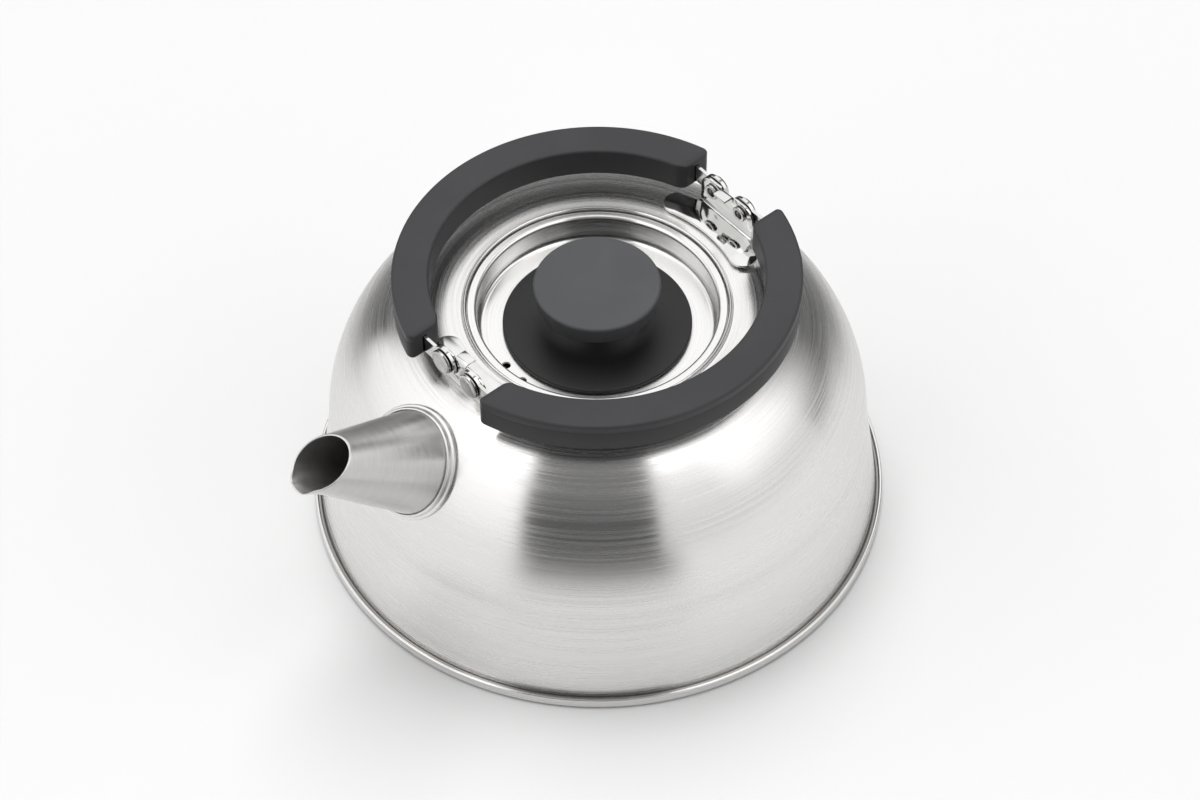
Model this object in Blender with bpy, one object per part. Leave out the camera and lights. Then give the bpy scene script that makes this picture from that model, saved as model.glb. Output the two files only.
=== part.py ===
# Compact camping kettle with a flat base, a short conical spout, a drop-in lid
# and a handle in two halves that fold down round the lid.
# Metres, +Z up. The origin is the centre of the base on the table; the spout points along +X.

from math import acos, asin, cos, pi, radians, sin, sqrt

import bmesh
import bpy
from mathutils import Matrix, Vector

# What is shared by all pieces
CLEARANCE = 0.0003
NEAR = 0.0001
ROUND_STEPS = 64
LID_STEPS = 48
SPOUT_STEPS = 36
RIVET_STEPS = 16
SMOOTH_ANGLE = radians(35.0)

# Body: a wall that leans in, then a quarter of an ellipse up to the crown round the mouth
WALL_FOOT_RADIUS = 0.0885
WALL_LEAN = 0.0041
SHOULDER_HEIGHT = 0.0350
CROWN_HEIGHT = 0.0835
BODY_SHEET = 0.0008
BODY_BEND = 0.0005
DOME_STEPS = 9

# Mouth: a groove and a bead round a ledge that carries the lid, and a short neck below it
MOUTH_RADIUS = 0.0379
LEDGE_WIDTH = 0.0022
LEDGE_DROP = 0.0019
BEAD_WIDTH = 0.0007
BEAD_RISE = 0.0002
GROOVE_WIDTH = 0.0006
GROOVE_DEPTH = 0.0003
CROWN_FLAT = 0.0006
NECK_LENGTH = 0.0059

# Base: a disc whose rim folds over the out-turned flange of the body
BASE_SHEET = 0.0008
FOOT_INSET = 0.0029
RIM_LIFT = 0.0006
RIM_SLOPE = 0.0009
FLANGE_WIDTH = 0.0018
LIP_WIDTH = 0.0017
HEM_ROUNDING = 0.0006

# Spout: a cone square to the dome, cut off aslant, with a pouring lip at its lowest point
SPOUT_ROOT_DROP = 0.0172
SPOUT_ANGLE = radians(36.4)
SPOUT_LENGTH = 0.0398
SPOUT_ROOT_RADIUS = 0.0156
SPOUT_MOUTH_RADIUS = 0.00825
SPOUT_SHEET = 0.0008
MOUTH_CUT_ANGLE = radians(67.8)
LIP_LENGTH = 0.0015
LIP_FLAT_ANGLE = radians(20.0)
LIP_END_ANGLE = radians(42.0)
LIP_START = 0.93
COLLAR_WIDTH = 0.0018
COLLAR_STEP_WIDTH = 0.0009
COLLAR_EDGE = 0.0012
COLLAR_RISE = 0.0026
SPOUT_HOLE_INSET = 0.0015

# Handle: two half rings round the crown, each on a pair of pivots
RING_GAP = 0.0087
GRIP_WIDTH = 0.0114
GRIP_COVER = 0.0009
GRIP_END = 0.0156
GRIP_ROUNDING = 0.0007
GRIP_CORNER = 0.0014
GRIP_STEPS = 24
PIVOT_SPACING = 0.0126
PIVOT_RISE = 0.0084
STRAP_SHEET = 0.0010
STRAP_HEIGHT = 0.0062
STRAP_LEAD = 0.0002
EYE_RADIUS = 0.0050
EYE_TIP_ANGLE = radians(14.0)
EYE_STEPS = 7

# Brackets: a foot on the crown, an upright plate and a tongue bent in at its top
BRACKET_SHEET = 0.0008
BRACKET_BEND_RADIUS = 0.0008
PLATE_WIDTH = 0.0233
PLATE_ABOVE_PIVOT = 0.0040
PLATE_CORNER = 0.0044
TONGUE_WIDTH = 0.0050
TONGUE_LENGTH = 0.0025
TONGUE_CORNER = 0.0018
TONGUE_RISE = 0.0002
TONGUE_SLOT = 0.0005
FOOT_GAP = 0.0020
FOOT_LENGTH = 0.0390
FOOT_END_WIDTH = 0.0088
FOOT_END_ANGLE = radians(30.0)
FOOT_ARC_STEPS = 10
WELD_RADIUS = 0.0016
WELD_RISE = 0.0001
WELD_SPACING = 0.0108

# Rivets: a flat dome outside, a turned tail inside
RIVET_RADIUS = 0.00175
RIVET_HEAD_RADIUS = 0.0041
RIVET_HEAD_HEIGHT = 0.0009
RIVET_HEAD_EDGE = 0.0003
RIVET_TAIL_RADIUS = 0.0026
RIVET_TAIL_HEIGHT = 0.0007
RIVET_HOLLOW_RADIUS = 0.0017
RIVET_HOLLOW_DEPTH = 0.0005

# Lid: a dish that hangs by its rim on the ledge of the mouth
LID_SHEET = 0.0007
LID_RIM_WIDTH = 0.0018
LID_RIM_ROUNDING = 0.0004
LID_SHOULDER = 0.0013
LID_DEPTH = 0.0083
LID_DRAFT = 0.0005
LID_CORNER = 0.0017
STEAM_HOLE_RADIUS = 0.0014
STEAM_HOLE_GAP = 0.0034
STEAM_HOLE_ANGLE = radians(7.0)
STEAM_PAIR_ANGLE = radians(-2.1)

# Knob: a heat guard with a stem, a mushroom cap, and the screw that holds both from below
GUARD_GAP = 0.0057
GUARD_EDGE = 0.0013
GUARD_CROWN = 0.0003
GUARD_SLOPE = 0.0030
GUARD_ROUNDING = 0.0004
STEM_RADIUS = 0.0095
STEM_HEIGHT = 0.0107
STEM_FLARE = 0.0085
FLARE_STEPS = 4
KNOB_RADIUS = 0.0196
KNOB_HEIGHT = 0.0070
KNOB_DRAFT = 0.0012
KNOB_ROUNDING = 0.0010
SCREW_RADIUS = 0.0025
SCREW_HEAD_RADIUS = 0.0045
SCREW_HEAD_HEIGHT = 0.0020
SCREW_HEAD_ROUNDING = 0.0008
SCREW_REACH = 0.0041
LID_WASHER_RADIUS = 0.0060
LID_WASHER_SHEET = 0.0008

# What follows from the sizes above
shoulder_radius = WALL_FOOT_RADIUS - WALL_LEAN
ledge_radius = MOUTH_RADIUS + LEDGE_WIDTH
bead_radius = ledge_radius + BEAD_WIDTH
groove_radius = bead_radius + GROOVE_WIDTH
crown_radius = groove_radius + CROWN_FLAT
ledge_height = CROWN_HEIGHT - LEDGE_DROP
flange_low = RIM_LIFT + BASE_SHEET + CLEARANCE
flange_high = flange_low + BODY_SHEET
foot_low = CROWN_HEIGHT + CLEARANCE
foot_high = foot_low + BRACKET_SHEET
foot_inner_radius = crown_radius + FOOT_GAP
weld_place = foot_inner_radius + FOOT_END_WIDTH / 2
pivot_y = PIVOT_SPACING / 2
pivot_z = CROWN_HEIGHT + PIVOT_RISE
grip_top = pivot_z + pivot_y - CLEARANCE
grip_bottom = pivot_z - STRAP_HEIGHT / 2 - GRIP_COVER
grip_inner = crown_radius + RING_GAP
grip_outer = grip_inner + GRIP_WIDTH
strap_radius = (grip_inner + grip_outer) / 2
strap_bend = GRIP_END - STRAP_LEAD
strap_x = sqrt(strap_radius ** 2 - strap_bend ** 2)
plate_x = strap_x - STRAP_SHEET / 2 - CLEARANCE
plate_top = pivot_z + PLATE_ABOVE_PIVOT
outer_bend = BRACKET_BEND_RADIUS + BRACKET_SHEET
rivet_bore = RIVET_RADIUS + CLEARANCE
lid_wall = MOUTH_RADIUS - CLEARANCE
lid_rim_low = ledge_height + CLEARANCE
lid_rim_top = lid_rim_low + LID_SHEET
lid_floor = lid_rim_top - LID_DEPTH
lid_inner_wall = lid_wall - LID_SHEET
lid_floor_edge = lid_inner_wall - LID_DRAFT - LID_CORNER
screw_bore = SCREW_RADIUS + CLEARANCE
guard_radius = lid_floor_edge - GUARD_GAP
guard_low = lid_floor + CLEARANCE
guard_top = guard_low + GUARD_EDGE + GUARD_CROWN
stem_top = guard_low + STEM_HEIGHT
knob_low = stem_top + CLEARANCE
knob_bore_top = knob_low + SCREW_REACH + CLEARANCE
lid_washer_top = lid_floor - LID_SHEET - CLEARANCE
spout_taper = (SPOUT_ROOT_RADIUS - SPOUT_MOUTH_RADIUS) / SPOUT_LENGTH


def wall_radius(height):
    return WALL_FOOT_RADIUS - WALL_LEAN * height / SHOULDER_HEIGHT


def dome_point(turn, grow=0.0):
    # turn is 0 at the shoulder and a quarter turn at the crown
    radius = crown_radius + (shoulder_radius - crown_radius + grow) * cos(turn)
    height = SHOULDER_HEIGHT + (CROWN_HEIGHT - SHOULDER_HEIGHT + grow) * sin(turn)
    return radius, height


def outside_dome(point, grow):
    # above zero where the point lies outside the dome grown by this much
    radius = Vector((point.x, point.y)).length
    if point.z < SHOULDER_HEIGHT:
        return radius - wall_radius(point.z) - grow
    across = (radius - crown_radius) / (shoulder_radius - crown_radius + grow)
    up = (point.z - SHOULDER_HEIGHT) / (CROWN_HEIGHT - SHOULDER_HEIGHT + grow)
    return sqrt(max(across, 0.0) ** 2 + up ** 2) - 1.0


spout_root_turn = asin(1.0 - SPOUT_ROOT_DROP / (CROWN_HEIGHT - SHOULDER_HEIGHT))
spout_root = Vector((dome_point(spout_root_turn)[0], 0.0, CROWN_HEIGHT - SPOUT_ROOT_DROP))
spout_axis = Vector((cos(SPOUT_ANGLE), 0.0, sin(SPOUT_ANGLE)))
spout_up = Vector((-sin(SPOUT_ANGLE), 0.0, cos(SPOUT_ANGLE)))
spout_side = Vector((0.0, 1.0, 0.0))


def clear_scene():
    for item in list(bpy.context.scene.objects):
        bpy.data.objects.remove(item, do_unlink=True)


def finish(name, colour, roughness, metallic):
    material = bpy.data.materials.new(name)
    material.use_nodes = True
    shader = material.node_tree.nodes["Principled BSDF"]
    shader.inputs["Base Color"].default_value = (*colour, 1.0)
    shader.inputs["Roughness"].default_value = roughness
    shader.inputs["Metallic"].default_value = metallic
    material.diffuse_color = (*colour, 1.0)
    return material


def satin_steel(name):
    return finish(name, (0.72, 0.71, 0.69), 0.32, 1.0)


def bright_steel(name):
    return finish(name, (0.80, 0.80, 0.79), 0.12, 1.0)


def black_plastic(name):
    return finish(name, (0.045, 0.046, 0.048), 0.55, 0.0)


def mesh_from(bm, name):
    bmesh.ops.remove_doubles(bm, verts=bm.verts, dist=0.000001)
    bmesh.ops.recalc_face_normals(bm, faces=bm.faces)
    mesh = bpy.data.meshes.new(name)
    bm.to_mesh(mesh)
    bm.free()
    mesh.shade_smooth()
    mesh.set_sharp_from_angle(angle=SMOOTH_ANGLE)
    return mesh


def place(name, mesh, material, location=(0.0, 0.0, 0.0), rotation=(0.0, 0.0, 0.0)):
    piece = bpy.data.objects.new(name, mesh)
    bpy.context.scene.collection.objects.link(piece)
    piece.location = location
    piece.rotation_euler = rotation
    if not mesh.materials:
        mesh.materials.append(material)
    piece.material_slots[0].link = "OBJECT"
    piece.material_slots[0].material = material
    return piece


def softened(outline, steps=1):
    # corners are (radius, height, rounding); one with a rounding becomes a cut or a short arc
    points = []
    for i, (radius, height, rounding) in enumerate(outline):
        corner = Vector((radius, height))
        if rounding == 0.0:
            points.append(tuple(corner))
            continue
        before = Vector(outline[i - 1][:2])
        after = Vector(outline[(i + 1) % len(outline)][:2])
        start = corner + (before - corner).normalized() * rounding
        end = corner + (after - corner).normalized() * rounding
        for step in range(steps + 1):
            share = step / steps
            points.append(tuple(start.lerp(corner, share).lerp(corner.lerp(end, share), share)))
    return points


def turned_mesh(name, profile, steps):
    # a closed outline of (radius, height) points, turned about Z
    bm = bmesh.new()
    corners = [bm.verts.new((radius, 0.0, height)) for radius, height in profile]
    edges = [bm.edges.new((a, b)) for a, b in zip(corners, corners[1:])]
    if profile[0][0] > 0.0:
        edges.append(bm.edges.new((corners[-1], corners[0])))
    bmesh.ops.spin(bm, geom=corners + edges, cent=(0, 0, 0), axis=(0, 0, 1),
                   dvec=(0, 0, 0), angle=2 * pi, steps=steps, use_merge=True)
    return mesh_from(bm, name)


def lofted_mesh(name, rings, closed):
    # skin from ring to ring; closed joins the last ring to the first, else both ends are capped
    bm = bmesh.new()
    rows = [[bm.verts.new(point) for point in ring] for ring in rings]
    pairs = list(zip(rows, rows[1:]))
    if closed:
        pairs.append((rows[-1], rows[0]))
    else:
        bm.faces.new(rows[0])
        bm.faces.new(rows[-1])
    count = len(rings[0])
    for low, high in pairs:
        for i in range(count):
            j = (i + 1) % count
            bm.faces.new((low[i], low[j], high[j], high[i]))
    return mesh_from(bm, name)


def extruded_mesh(name, outline, along):
    # a flat closed outline of points, drawn out by a vector
    bm = bmesh.new()
    face = bm.faces.new([bm.verts.new(point) for point in outline])
    drawn = bmesh.ops.extrude_face_region(bm, geom=[face])
    moved = [item for item in drawn["geom"] if isinstance(item, bmesh.types.BMVert)]
    bmesh.ops.translate(bm, verts=moved, vec=along)
    return mesh_from(bm, name)


def round_corners(mesh, is_corner, along, width, steps):
    # bevels the edges that run along this direction and whose ends both pass the test
    bm = bmesh.new()
    bm.from_mesh(mesh)
    edges = []
    for edge in bm.edges:
        run = (edge.verts[1].co - edge.verts[0].co).normalized()
        if abs(run.dot(Vector(along))) > 0.99 and all(is_corner(vert.co) for vert in edge.verts):
            edges.append(edge)
    bmesh.ops.bevel(bm, geom=edges, offset=width, segments=steps, profile=0.5, affect="EDGES")
    bm.to_mesh(mesh)
    bm.free()


def bar(name, start, end, radius, steps):
    # a plain round bar, used as a cutter or joined to a plate
    start = Vector(start)
    end = Vector(end)
    bm = bmesh.new()
    bmesh.ops.create_cone(bm, cap_ends=True, segments=steps, radius1=radius, radius2=radius,
                          depth=(end - start).length)
    turn = Vector((0, 0, 1)).rotation_difference(end - start).to_matrix().to_4x4()
    bmesh.ops.transform(bm, matrix=Matrix.Translation((start + end) / 2) @ turn, verts=bm.verts)
    return mesh_from(bm, name)


def helper(name, mesh):
    piece = bpy.data.objects.new(name, mesh)
    bpy.context.scene.collection.objects.link(piece)
    piece.hide_render = True
    piece.display_type = "WIRE"
    return piece


def combine(piece, mesh, operation):
    tool = helper(piece.name + "_" + mesh.name, mesh)
    modifier = piece.modifiers.new(mesh.name, "BOOLEAN")
    modifier.operation = operation
    modifier.solver = "EXACT"
    modifier.object = tool


def settled_mesh(mesh, cuts, joins=()):
    # the mesh with other meshes joined on and cut out, as a new mesh
    piece = helper(mesh.name, mesh)
    for other in joins:
        combine(piece, other, "UNION")
    for other in cuts:
        combine(piece, other, "DIFFERENCE")
    bpy.context.view_layer.update()
    result = bpy.data.meshes.new_from_object(piece.evaluated_get(bpy.context.evaluated_depsgraph_get()))
    for modifier in piece.modifiers:
        bpy.data.objects.remove(modifier.object, do_unlink=True)
    bpy.data.objects.remove(piece, do_unlink=True)
    return result


def axis_empty(name, location):
    # stands on a joint's axis and carries the pieces that move with it
    empty = bpy.data.objects.new(name, None)
    bpy.context.scene.collection.objects.link(empty)
    empty.location = location
    empty.empty_display_size = 0.01
    return empty


def carry(piece, empty):
    piece.parent = empty
    piece.matrix_parent_inverse = Matrix.Translation(-empty.location)


def make_body():
    wall_at_flange = wall_radius(flange_high)
    flange_radius = wall_at_flange + FLANGE_WIDTH
    bead_top = CROWN_HEIGHT + BEAD_RISE
    neck_low = ledge_height - NECK_LENGTH
    neck_outside = MOUTH_RADIUS + BODY_SHEET
    turns = [pi / 2 * i / DOME_STEPS for i in range(DOME_STEPS + 1)]
    outline = [(wall_at_flange - BODY_SHEET, flange_low, 0.0), (flange_radius, flange_low, 0.0)]
    outline += [(flange_radius, flange_high, 0.0), (wall_at_flange, flange_high, BODY_BEND)]
    outline += [(*dome_point(turn), 0.0) for turn in turns]
    outline += [(groove_radius, CROWN_HEIGHT, 0.0)]
    outline += [((groove_radius + bead_radius) / 2, CROWN_HEIGHT - GROOVE_DEPTH, 0.0)]
    outline += [(bead_radius, CROWN_HEIGHT, 0.0)]
    outline += [((bead_radius + ledge_radius) / 2, bead_top, 0.0), (ledge_radius, CROWN_HEIGHT, 0.0)]
    outline += [(ledge_radius, ledge_height, 0.0), (MOUTH_RADIUS, ledge_height, BODY_BEND)]
    outline += [(MOUTH_RADIUS, neck_low, 0.0), (neck_outside, neck_low, 0.0)]
    outline += [(neck_outside, ledge_height - BODY_SHEET, 0.0)]
    outline += [(ledge_radius + BODY_SHEET, ledge_height - BODY_SHEET, 0.0)]
    outline += [(*dome_point(turn, -BODY_SHEET), 0.0) for turn in reversed(turns)]
    body = place("body_shell", turned_mesh("body_shell", softened(outline), ROUND_STEPS),
                 satin_steel("body_satin"))
    hole_radius = SPOUT_ROOT_RADIUS - SPOUT_SHEET - SPOUT_HOLE_INSET
    hole_reach = spout_axis * hole_radius
    combine(body, bar("spout_hole", spout_root - hole_reach, spout_root + hole_reach,
                      hole_radius, SPOUT_STEPS), "DIFFERENCE")


def make_base():
    hem_inside = wall_radius(flange_high) + FLANGE_WIDTH + CLEARANCE
    hem_outside = hem_inside + BASE_SHEET
    lip_low = flange_high + CLEARANCE
    lip_top = lip_low + BASE_SHEET
    lip_inside = hem_outside - LIP_WIDTH
    foot_radius = WALL_FOOT_RADIUS - FOOT_INSET
    rim_start = foot_radius + RIM_SLOPE
    rim_inside = RIM_LIFT + BASE_SHEET
    outline = [(0.0, 0.0, 0.0), (foot_radius, 0.0, 0.0), (rim_start, RIM_LIFT, 0.0)]
    outline += [(hem_outside, RIM_LIFT, HEM_ROUNDING), (hem_outside, lip_top, HEM_ROUNDING)]
    outline += [(lip_inside, lip_top, BASE_SHEET / 2), (lip_inside, lip_low, 0.0)]
    outline += [(hem_inside, lip_low, 0.0), (hem_inside, rim_inside, 0.0), (rim_start, rim_inside, 0.0)]
    outline += [(foot_radius, BASE_SHEET, 0.0), (0.0, BASE_SHEET, 0.0)]
    place("base_pan", turned_mesh("base_pan", softened(outline), ROUND_STEPS), satin_steel("base_satin"))


def spout_direction(turn):
    # turn is 0 at the top of the spout and half a turn at its underside
    return spout_up * cos(turn) + spout_side * sin(turn)


def cone_point(turn, along, grow):
    radius = SPOUT_ROOT_RADIUS - spout_taper * along + grow
    return spout_root + spout_axis * along + spout_direction(turn) * radius


def halve_to(point_at, grow):
    # the place along a line at which it leaves the dome grown by this much
    low = -SPOUT_ROOT_RADIUS
    high = SPOUT_ROOT_RADIUS
    for _ in range(40):
        middle = (low + high) / 2
        if outside_dome(point_at(middle), grow) > 0.0:
            high = middle
        else:
            low = middle
    return middle


def cone_on_dome(turn, grow, height):
    return halve_to(lambda along: cone_point(turn, along, grow), height)


def cone_at_mouth(turn, grow):
    # where a line down the cone meets the slanting plane of the mouth
    normal = Vector((cos(MOUTH_CUT_ANGLE), 0.0, sin(MOUTH_CUT_ANGLE)))
    centre = spout_root + spout_axis * SPOUT_LENGTH
    start = cone_point(turn, 0.0, grow)
    step = cone_point(turn, SPOUT_LENGTH, grow) - start
    return SPOUT_LENGTH * (centre - start).dot(normal) / step.dot(normal)


def lip_share(turn):
    # 1 over the flat of the pouring lip, easing to 0 at its ends
    away = abs(turn - pi)
    if away <= LIP_FLAT_ANGLE:
        return 1.0
    if away >= LIP_END_ANGLE:
        return 0.0
    return 0.5 + 0.5 * cos(pi * (away - LIP_FLAT_ANGLE) / (LIP_END_ANGLE - LIP_FLAT_ANGLE))


def make_spout():
    turns = [2 * pi * i / SPOUT_STEPS for i in range(SPOUT_STEPS)]

    def tube_ring(share, grow):
        points = []
        for turn in turns:
            root = cone_on_dome(turn, grow, CLEARANCE)
            along = root + (cone_at_mouth(turn, grow) - root) * share
            bend = LIP_LENGTH * lip_share(turn) if share == 1.0 else 0.0
            points.append(cone_point(turn, along, grow) + spout_direction(turn) * bend)
        return points

    shares = (0.0, LIP_START, 1.0)
    rings = [tube_ring(share, 0.0) for share in shares]
    rings += [tube_ring(share, -SPOUT_SHEET) for share in reversed(shares)]
    place("spout_tube", lofted_mesh("spout_tube", rings, True), satin_steel("spout_satin"))

    def collar_ring(beyond, height):
        points = []
        radius = SPOUT_ROOT_RADIUS + beyond
        for turn in turns:
            foot = spout_root + spout_direction(turn) * radius
            along = halve_to(lambda reach: foot + spout_axis * reach, height)
            points.append(foot + spout_axis * along)
        return points

    def collar_inside(height):
        return [cone_point(turn, cone_on_dome(turn, CLEARANCE, height), CLEARANCE) for turn in turns]

    collar_top = CLEARANCE + COLLAR_RISE
    collar_edge = CLEARANCE + COLLAR_EDGE
    rings = [collar_inside(CLEARANCE), collar_ring(COLLAR_WIDTH, CLEARANCE)]
    rings += [collar_ring(COLLAR_WIDTH, collar_edge - CLEARANCE)]
    rings += [collar_ring(COLLAR_WIDTH - CLEARANCE, collar_edge)]
    rings += [collar_ring(COLLAR_WIDTH - COLLAR_STEP_WIDTH, collar_edge)]
    rings += [collar_ring(COLLAR_WIDTH - COLLAR_STEP_WIDTH - CLEARANCE, collar_top)]
    rings += [collar_inside(collar_top)]
    place("spout_collar", lofted_mesh("spout_collar", rings, True), satin_steel("collar_satin"))


def arc_points(centre, radius, start, end, steps):
    return [(centre[0] + radius * cos(start + (end - start) * i / steps),
             centre[1] + radius * sin(start + (end - start) * i / steps)) for i in range(steps + 1)]


def foot_outline():
    # the inner edge follows the mouth, both ends are round, the outer edge is under the plate
    half = FOOT_LENGTH / 2
    end_radius = FOOT_END_WIDTH / 2
    end_turn = asin((half - end_radius) / weld_place)
    end_centre = (weld_place * cos(end_turn), weld_place * sin(end_turn))
    inner = arc_points((0.0, 0.0), foot_inner_radius, -end_turn, end_turn, FOOT_ARC_STEPS)
    left = arc_points(end_centre, end_radius, end_turn + pi, end_turn + FOOT_END_ANGLE, 6)
    right = [(x, -y) for x, y in reversed(left)]
    outer = plate_x - outer_bend
    corners = [(outer, PLATE_WIDTH / 2 - BRACKET_SHEET), (outer, BRACKET_SHEET - PLATE_WIDTH / 2)]
    return inner + left[1:] + corners + right[:-1]


def make_bracket_mesh():
    foot = extruded_mesh("foot", [(x, y, foot_low) for x, y in foot_outline()], (0, 0, BRACKET_SHEET))

    # upright plate with its bend, as a side view drawn out across the bracket
    inner_bend = BRACKET_BEND_RADIUS
    plate_inside = plate_x - BRACKET_SHEET
    bend_centre = (plate_x - outer_bend, foot_low + outer_bend)
    side = [(bend_centre[0] - outer_bend, foot_low)]
    side += arc_points(bend_centre, outer_bend, -pi / 2, 0.0, 5)
    side += [(plate_x, plate_top), (plate_inside, plate_top)]
    side += arc_points(bend_centre, inner_bend, 0.0, -pi / 2, 3)
    side += [(bend_centre[0] - outer_bend, foot_high)]
    half = PLATE_WIDTH / 2
    plate = extruded_mesh("plate", [(x, -half, z) for x, z in side], (0, PLATE_WIDTH, 0))
    round_corners(plate, lambda co: abs(co.y) > half - NEAR and co.z > plate_top - NEAR,
                  (1, 0, 0), PLATE_CORNER, 4)

    # tongue: bent in level between two slots in the top edge of the plate
    tongue_centre = (plate_x - outer_bend, plate_top + TONGUE_RISE - outer_bend)
    slot_low = tongue_centre[1] - TONGUE_SLOT
    slot_half = TONGUE_WIDTH / 2 + TONGUE_SLOT
    slot_in = plate_inside - BRACKET_SHEET
    slot_out = plate_x + BRACKET_SHEET
    slot = [(slot_in, -slot_half, slot_low), (slot_in, slot_half, slot_low)]
    slot += [(slot_out, slot_half, slot_low), (slot_out, -slot_half, slot_low)]
    plate = settled_mesh(plate, [extruded_mesh("slot", slot, (0, 0, plate_top))])
    tongue_root = slot_low - BRACKET_SHEET
    tongue_tip = plate_x - outer_bend - TONGUE_LENGTH
    tongue = [(plate_x, tongue_root)]
    tongue += arc_points(tongue_centre, outer_bend, 0.0, pi / 2, 4)
    tongue += [(tongue_tip, tongue_centre[1] + outer_bend), (tongue_tip, tongue_centre[1] + inner_bend)]
    tongue += arc_points(tongue_centre, inner_bend, pi / 2, 0.0, 3)
    tongue += [(plate_inside, tongue_root)]
    tongue = extruded_mesh("tongue", [(x, -TONGUE_WIDTH / 2, z) for x, z in tongue],
                           (0, TONGUE_WIDTH, 0))
    round_corners(tongue, lambda co: co.x < tongue_tip + NEAR, (0, 0, 1), TONGUE_CORNER, 3)

    # three welds reach down from the foot to the dome
    joins = [plate, tongue]
    near_side = weld_place - WELD_RADIUS
    turn = acos((near_side - crown_radius) / (shoulder_radius - crown_radius))
    weld_low = dome_point(turn)[1] + CLEARANCE
    for step in (-1, 0, 1):
        y = step * WELD_SPACING
        x = sqrt(weld_place ** 2 - y ** 2)
        joins.append(bar("weld", (x, y, weld_low), (x, y, foot_high + WELD_RISE), WELD_RADIUS, 12))
    bores = [bar("bore", (plate_x - 2 * BRACKET_SHEET, y, pivot_z), (plate_x + BRACKET_SHEET, y, pivot_z),
                 rivet_bore, RIVET_STEPS) for y in (-pivot_y, pivot_y)]
    return settled_mesh(foot, bores, joins)


def make_strap_mesh():
    # columns along the strap: round an eye, along the half ring, and round the other eye
    half_sheet = STRAP_SHEET / 2
    half_height = STRAP_HEIGHT / 2
    last_turn = pi - asin(half_height / EYE_RADIUS)

    def column(inner, outer, half):
        return [(*inner, pivot_z - half), (*outer, pivot_z - half),
                (*outer, pivot_z + half), (*inner, pivot_z + half)]

    rings = []
    for i in range(EYE_STEPS + 1):
        turn = EYE_TIP_ANGLE + (last_turn - EYE_TIP_ANGLE) * i / EYE_STEPS
        y = pivot_y - EYE_RADIUS * cos(turn)
        rings.append(column((strap_x - half_sheet, y), (strap_x + half_sheet, y), EYE_RADIUS * sin(turn)))
    start = asin(strap_bend / strap_radius)
    for i in range(GRIP_STEPS + 1):
        turn = start + (pi - 2 * start) * i / GRIP_STEPS
        inner = ((strap_radius - half_sheet) * cos(turn), (strap_radius - half_sheet) * sin(turn))
        outer = ((strap_radius + half_sheet) * cos(turn), (strap_radius + half_sheet) * sin(turn))
        rings.append(column(inner, outer, half_height))
    front_eye = rings[:EYE_STEPS + 1]
    rings += [[(-x, y, z) for x, y, z in ring] for ring in reversed(front_eye)]
    strap = lofted_mesh("strap", rings, False)
    bores = [bar("bore", (x - STRAP_SHEET, pivot_y, pivot_z), (x + STRAP_SHEET, pivot_y, pivot_z),
                 rivet_bore, RIVET_STEPS) for x in (-strap_x, strap_x)]
    return settled_mesh(strap, bores)


def make_grip_mesh():
    # an outer skin with cut corners and a channel that the strap runs through
    def section(inner, outer, low, high, cut):
        return [(inner + cut, low), (outer - cut, low), (outer, low + cut), (outer, high - cut),
                (outer - cut, high), (inner + cut, high), (inner, high - cut), (inner, low + cut)]

    def rings_from(points, end):
        rings = []
        for i in range(GRIP_STEPS + 1):
            ring = []
            for radius, height in points:
                start = asin(end / radius)
                turn = start + (pi - 2 * start) * i / GRIP_STEPS
                ring.append((radius * cos(turn), radius * sin(turn), height))
            rings.append(ring)
        return rings

    def skin_at(inset):
        return section(grip_inner + inset, grip_outer - inset, grip_bottom, grip_top, GRIP_ROUNDING)

    # the corners of each end are round when seen from above
    ends = []
    for turn in (0.0, pi / 4):
        y = GRIP_END + GRIP_CORNER * (1 - cos(turn))
        inset = GRIP_CORNER * (1 - sin(turn))
        ends.append([(sqrt(radius ** 2 - y ** 2), y, height) for radius, height in skin_at(inset)])
    far_ends = [[(-x, y, z) for x, y, z in ring] for ring in reversed(ends)]
    skin = ends + rings_from(skin_at(0.0), GRIP_END + GRIP_CORNER) + far_ends
    half_channel = STRAP_SHEET / 2 + CLEARANCE
    half_height = STRAP_HEIGHT / 2 + CLEARANCE
    channel = section(strap_radius - half_channel, strap_radius + half_channel,
                      pivot_z - half_height, pivot_z + half_height, CLEARANCE / 2)
    return lofted_mesh("grip", skin + rings_from(channel, GRIP_END)[::-1], True)


def make_rivet_mesh():
    # local Z points out of the plate, with 0 on the plate's outer face
    head_low = STRAP_SHEET + 2 * CLEARANCE
    head_top = head_low + RIVET_HEAD_HEIGHT
    tail_high = -BRACKET_SHEET - CLEARANCE
    tail_low = tail_high - RIVET_TAIL_HEIGHT
    hollow = tail_low + RIVET_HOLLOW_DEPTH
    profile = [(0.0, head_top)]
    for turn in (pi / 6, pi / 3, pi / 2):
        height = head_low + RIVET_HEAD_EDGE + (RIVET_HEAD_HEIGHT - RIVET_HEAD_EDGE) * cos(turn)
        profile.append((RIVET_HEAD_RADIUS * sin(turn), height))
    profile += [(RIVET_HEAD_RADIUS, head_low), (RIVET_RADIUS, head_low), (RIVET_RADIUS, tail_high)]
    profile += [(RIVET_TAIL_RADIUS, tail_high), (RIVET_TAIL_RADIUS, tail_low)]
    profile += [(RIVET_HOLLOW_RADIUS, tail_low), (RIVET_RADIUS / 2, hollow), (0.0, hollow)]
    return turned_mesh("rivet", profile, RIVET_STEPS)


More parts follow.
